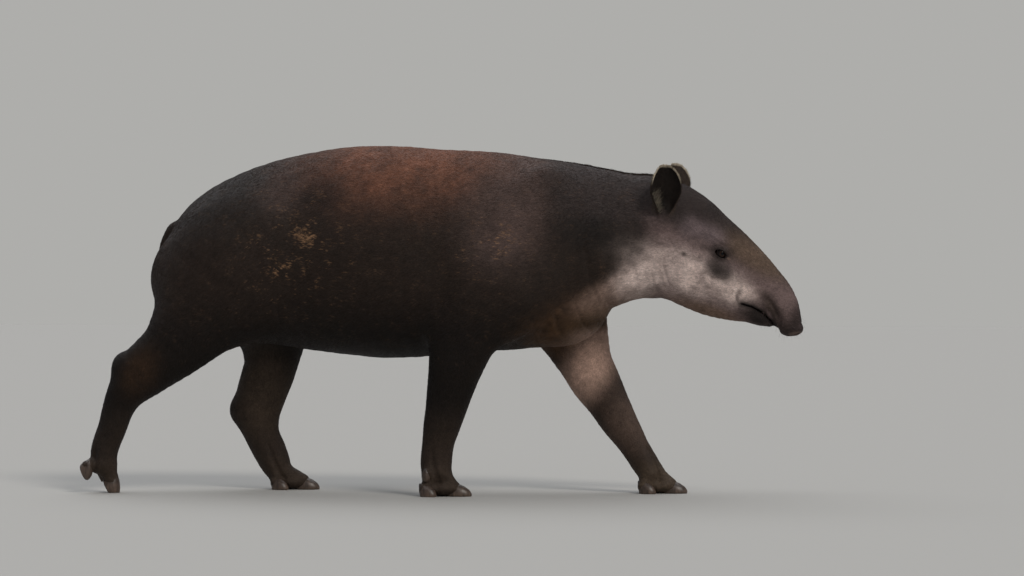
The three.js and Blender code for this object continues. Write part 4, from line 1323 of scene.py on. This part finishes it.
def ear_hair():
    """A fine fringe round each ear's edge, pale at its tip, and long hairs from the front of the cup."""
    for name, side in SIDES.items():
        across, opens, up = ear_axes(side)
        count = FRINGE_HAIRS
        v = random.uniform(0.2, 0.975, count)
        edge = np.where(random.random(count) < 0.5, -1.0, 1.0) * random.uniform(0.93, 1.0, count)
        over = random.random(count) < 0.3
        v[over] = random.uniform(0.955, 0.98, over.sum())
        edge[over] = random.uniform(-1, 1, over.sum())
        roots = ear_point(name, edge, v, random.uniform(-0.8, 0.9, count))
        ways = unit(0.5 * np.sign(edge)[:, None] * across * ~over[:, None] + 0.8 * up + 0.25 * opens)
        ways = unit(ways + 0.2 * random.standard_normal((count, 3)))
        cream = (smoothstep(v, 0.66, 0.84) * random.uniform(0.6, 1, count))[:, None]
        tones = np.array(SHANK_GREY) + cream * (np.array(CREAM) - SHANK_GREY)
        ups = np.tile(-opens, (count, 1))
        add_locks(f"ear_fringe_{name}", roots, ways, ups, 6.0, 0.9, 0.15 * opens, tones)
        count = CUP_HAIRS
        u = random.uniform(0.35, 0.95, count)
        v = random.uniform(0.12, 0.5, count)
        roots = ear_point(name, u, v, np.full(count, -1.0))
        ways = unit(0.5 * opens - 0.35 * across + 0.55 * up + 0.25 * random.standard_normal((count, 3)))
        tones = np.array(CREAM) * random.uniform(0.25, 0.8, count)[:, None]
        add_locks(f"ear_tuft_{name}", roots, ways, np.tile(opens, (count, 1)), 22.0, 0.8, 0.3 * up, tones)


def lashes():
    slant = math.radians(EYE_SLANT)
    for name, side in SIDES.items():
        count = LASH_HAIRS
        angle = np.linspace(0.25, 2.75, count) + 0.04 * random.standard_normal(count)
        along = (EYE_SLIT[0] + 1) * np.cos(angle)
        above = (EYE_SLIT[1] + 1.2) * np.sin(angle)
        x = along * math.cos(slant) - above * math.sin(slant)
        z = along * math.sin(slant) + above * math.cos(slant)
        reach = np.sqrt(np.maximum(EYE_RADIUS**2 - x * x - z * z, 20)) + 1.5
        roots = EYE_CENTRE * [1, side, 1] + np.stack([x, side * reach, z], 1)
        outward, rise = np.full(count, side * 1.0), np.full(count, 0.05)
        ways = unit(np.stack([0.25 * np.cos(angle) + 0.15, outward, rise], 1))
        droop = np.array([0.1, 0, -0.35])
        tones = np.tile(BLACK_BROWN, (count, 1))
        add_locks(f"lashes_{name}", roots, ways, np.tile([0.0, 0, 1], (count, 1)), 9.0, 0.7, droop, tones)


def nape_crest():
    """Short bristles that stand along the top of the neck."""
    count = CREST_HAIRS
    x = random.uniform(330, 800, count)
    y = 7 * random.standard_normal(count)
    top = limb(np.stack([x, y, np.full(count, CREST_FROM)], 1), TRUNK)
    z = CREST_FROM - np.where(top < 200, top, 0)
    start = np.stack([x, y, z], 1)
    for _ in range(8):
        start[:, 2] -= skin(start)
    ways = unit(np.array([-0.85, 0, 0.42]) + 0.12 * random.standard_normal((count, 3)))
    tones = np.tile(SHANK_GREY, (count, 1)) * random.uniform(0.3, 1.3, count)[:, None]
    length = 3 + 13 * smoothstep(x, 330, 520)
    ups = np.tile([0.0, 1, 0], (count, 1))
    add_locks("nape_crest", start, ways, ups, length, 1.1, np.array([-0.2, 0, -0.1]), tones)


def whiskers():
    """Sparse stiff hairs on the proboscis, the lips, the chin and over the eyes."""
    x, y, z = skin_points.T
    out = np.abs(y)
    muzzle = (x > 1040) & (z > 500) & (z < 650) & (out > 14) & (x - 1040 < 2.2 * (660 - z))
    brow = (np.abs(x - 905) < 22) & (np.abs(z - 822) < 12) & (out > 40)
    for name, place, count, length in (("muzzle", muzzle, 150, 21.0), ("brow", brow, 22, 26.0)):
        chosen = random.choice(np.flatnonzero(place), count, replace=False)
        roots = skin_points[chosen] - 0.6 * normals[chosen]
        ways = unit(normals[chosen] + np.array([0.5, 0, -0.35]) + 0.25 * random.standard_normal((count, 3)))
        tones = np.array(MOUSE_GREY) * random.uniform(0.2, 1.6, count)[:, None]
        ups = unit(np.cross(ways, [0.3, 0.2, 1.0]))
        add_locks(f"whiskers_{name}", roots, ways, ups, length, 0.42, np.array([0, 0, -0.25]), tones)


build_coat()
ear_hair()
lashes()
nape_crest()
whiskers()


# Hooves
HORN_LOW = (0.085, 0.056, 0.04)
HORN_HIGH = (0.04, 0.028, 0.023)


def ring_quads(rings, around):
    """Quads between rings of points, each ring of so many."""
    a = np.arange(rings * around).reshape(rings, around)
    b = np.roll(a, -1, axis=1)
    return np.stack([a, b, b + around, a + around], -1).reshape(-1, 4)


def hoof_mesh(toe):
    at, _, _, long, wide, high = toe
    around, rings = 40, 18
    angle = 2 * np.pi * np.arange(around) / around
    reach = np.where(np.cos(angle) > 0, 0.55, 0.45)
    points = []
    for r in range(rings + 1):
        t = r / rings
        share = np.interp(t, [0, 0.03, 0.2, 0.5, 0.78, 1], [0.93, 0.97, 1, 0.92, 0.72, 0.4])
        back = np.interp(t, [0, 0.2, 0.5, 0.78, 1], [0, 0.02, 0.12, 0.3, 0.5]) * high
        groove = (t > 0.1) * (0.3 * math.sin(23 * t) + 0.2 * math.sin(51 * t + 1))
        x = np.cos(angle) * (reach * long * share + groove) - back
        y = np.sin(angle) * (0.5 * wide * share + groove)
        points.append(np.stack([x, y, np.full(around, t * high)], 1))
    sole, top = points[0].mean(0), points[-1].mean(0)
    points = np.vstack([*points, sole, top])
    ends = []
    last = rings * around
    for i in range(0, around, 2):
        beyond = (i + 2) % around
        ends.append((len(points) - 2, beyond, i + 1, i))
        ends.append((len(points) - 1, last + i, last + i + 1, last + beyond))
    points = points @ toe_turn(toe).T + np.array(at, float)
    points[:, 2] = np.maximum(points[:, 2], 0)
    return points, np.vstack([ring_quads(rings, around), ends])


horn = horn_material()
for leg_name, leg in LEGS.items():
    for toe_name, toe in leg["toes"].items():
        node_name = f"hoof_{leg_name}_{toe_name}"
        points, quads = hoof_mesh(toe)
        hoof = make_object(node_name + "_horn", points, quads)
        up = np.clip((points[:, 2] - points[:, 2].min()) / np.ptp(points[:, 2]), 0, 1)
        tone = mixed(np.tile(HORN_LOW, (len(points), 1)), HORN_HIGH, up)
        paint(hoof, tone * (1 + 0.3 * noise(points, 9, 31))[:, None])
        hoof.data.materials.append(horn)
        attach(hoof, "root")
        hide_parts(node_name)


# Eyes
PUPIL_HALF = (6.2, 4.0)
IRIS_RADIUS = 10.5
CORNEA_RISE = 0.9
IRIS_INNER = (0.012, 0.006, 0.004)
IRIS_OUTER = (0.03, 0.013, 0.007)
IRIS_EDGE = (0.008, 0.006, 0.006)
EYE_AROUND = (0.03, 0.02, 0.017)
PUPIL = (0.002, 0.002, 0.003)


def eyeball(side):
    around, rows = 72, 54
    theta = np.pi * np.arange(rows + 1) / rows
    phi = 2 * np.pi * np.arange(around) / around
    gaze = unit(np.array([0.42, side * 0.9, -0.02]))
    aside = unit(np.cross(gaze, [0, 0, 1]))
    above = np.cross(aside, gaze)
    t, f = np.meshgrid(theta, phi, indexing="ij")
    radius = 0.98 * EYE_RADIUS + CORNEA_RISE * np.exp(-((t / 0.55) ** 2))
    rays = (
        np.cos(t)[..., None] * gaze
        + (np.sin(t) * np.cos(f))[..., None] * aside
        + (np.sin(t) * np.sin(f))[..., None] * above
    )
    points = (rays * radius[..., None]).reshape(-1, 3) + EYE_CENTRE * [1, side, 1]
    across = (np.sin(t) * np.cos(f)).ravel() * EYE_RADIUS
    upward = (np.sin(t) * np.sin(f)).ravel() * EYE_RADIUS
    pupil = np.hypot(across / PUPIL_HALF[0], upward / PUPIL_HALF[1])
    iris = np.hypot(across, upward) / IRIS_RADIUS
    tone = np.tile(IRIS_INNER, (len(points), 1))
    tone = mixed(tone, IRIS_OUTER, smoothstep(iris, 0.45, 0.8))
    tone = mixed(tone, IRIS_EDGE, smoothstep(iris, 0.88, 1.0))
    tone = mixed(tone, EYE_AROUND, smoothstep(iris, 1.25, 1.5))
    tone = mixed(tone, PUPIL, 1 - smoothstep(pupil, 0.9, 1.05))
    return points, ring_quads(rows, around)[:, [0, 3, 2, 1]], tone


gloss = eye_material()
for name, side in SIDES.items():
    points, quads, tone = eyeball(side)
    ball = make_object(f"eyeball_{name}", points, quads)
    paint(ball, tone)
    ball.data.materials.append(gloss)
    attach(ball, "root")
    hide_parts(f"eye_{name}")


# Floor, light and camera
FLOOR_HALF = 30.0  # metres
FLOOR_COLOUR = (0.4, 0.39, 0.37, 1)
BACKDROP = (0.425, 0.422, 0.408, 1)


def floor():
    corners = FLOOR_HALF * np.array([(-1, -1, 0), (1, -1, 0), (1, 1, 0), (-1, 1, 0)])
    thing = make_object("floor", (corners - SHIFT) / SCALE, np.array([[0, 1, 2, 3]]), smooth=False)
    material, _, _, shader = nodes_of("floor")
    set_sockets(shader, Base_Color=FLOOR_COLOUR, Roughness=0.85)
    thing.data.materials.append(material)


def sun(name, towards, spread, power, colour):
    """Soft light from a direction."""
    light = bpy.data.lights.new(name, "SUN")
    light.angle = math.radians(spread)
    light.energy = power
    light.color = colour
    thing = bpy.data.objects.new(name, light)
    thing.rotation_euler = Vector(towards).to_track_quat("Z", "Y").to_euler()
    bpy.context.scene.collection.objects.link(thing)


floor()
sun("sky", (-0.25, 0.3, 1), 75, 1.9, (0.95, 0.97, 1))
sun("key", (0.75, -0.75, 0.9), 16, 1.35, (1, 0.96, 0.9))


def studio():
    """Weak light from all round, and a pale backdrop."""
    world = bpy.data.worlds.new("studio")
    world.use_nodes = True
    tree = world.node_tree
    dim = tree.nodes["Background"]
    dim.inputs["Color"].default_value = (0.9, 0.94, 1, 1)
    dim.inputs["Strength"].default_value = 0.22
    pale = node(tree.nodes, "ShaderNodeBackground", Color=BACKDROP, Strength=1.0)
    seen = node(tree.nodes, "ShaderNodeLightPath")
    mix = node(tree.nodes, "ShaderNodeMixShader")
    tree.links.new(seen.outputs["Is Camera Ray"], mix.inputs[0])
    tree.links.new(dim.outputs[0], mix.inputs[1])
    tree.links.new(pale.outputs[0], mix.inputs[2])
    tree.links.new(mix.outputs[0], tree.nodes["World Output"].inputs["Surface"])
    bpy.context.scene.world = world
    bpy.context.scene.view_settings.view_transform = "Standard"


studio()

CAMERA_AZIMUTH = 10
CAMERA_DISTANCE = 12000
CAMERA_AIM_X = 232
CAMERA_HEIGHT = 750
FOCAL_PIXELS = 3684
SENSOR_WIDTH = 36
IMAGE_WIDTH, IMAGE_MIDDLE, HORIZON = 1024, 288, 264


def camera():
    data = bpy.data.cameras.new("camera")
    data.sensor_width = SENSOR_WIDTH
    data.lens = SENSOR_WIDTH * FOCAL_PIXELS / IMAGE_WIDTH
    data.clip_end = 200
    thing = bpy.data.objects.new("camera", data)
    turn = math.radians(CAMERA_AZIMUTH)
    away = CAMERA_DISTANCE * np.array([math.sin(turn), -math.cos(turn), 0])
    thing.location = placed(away + [CAMERA_AIM_X, 0, CAMERA_HEIGHT])
    down = math.atan((IMAGE_MIDDLE - HORIZON) / FOCAL_PIXELS)
    thing.rotation_euler = (math.pi / 2 - down, 0, turn)
    bpy.context.scene.collection.objects.link(thing)
    bpy.context.scene.camera = thing


camera()
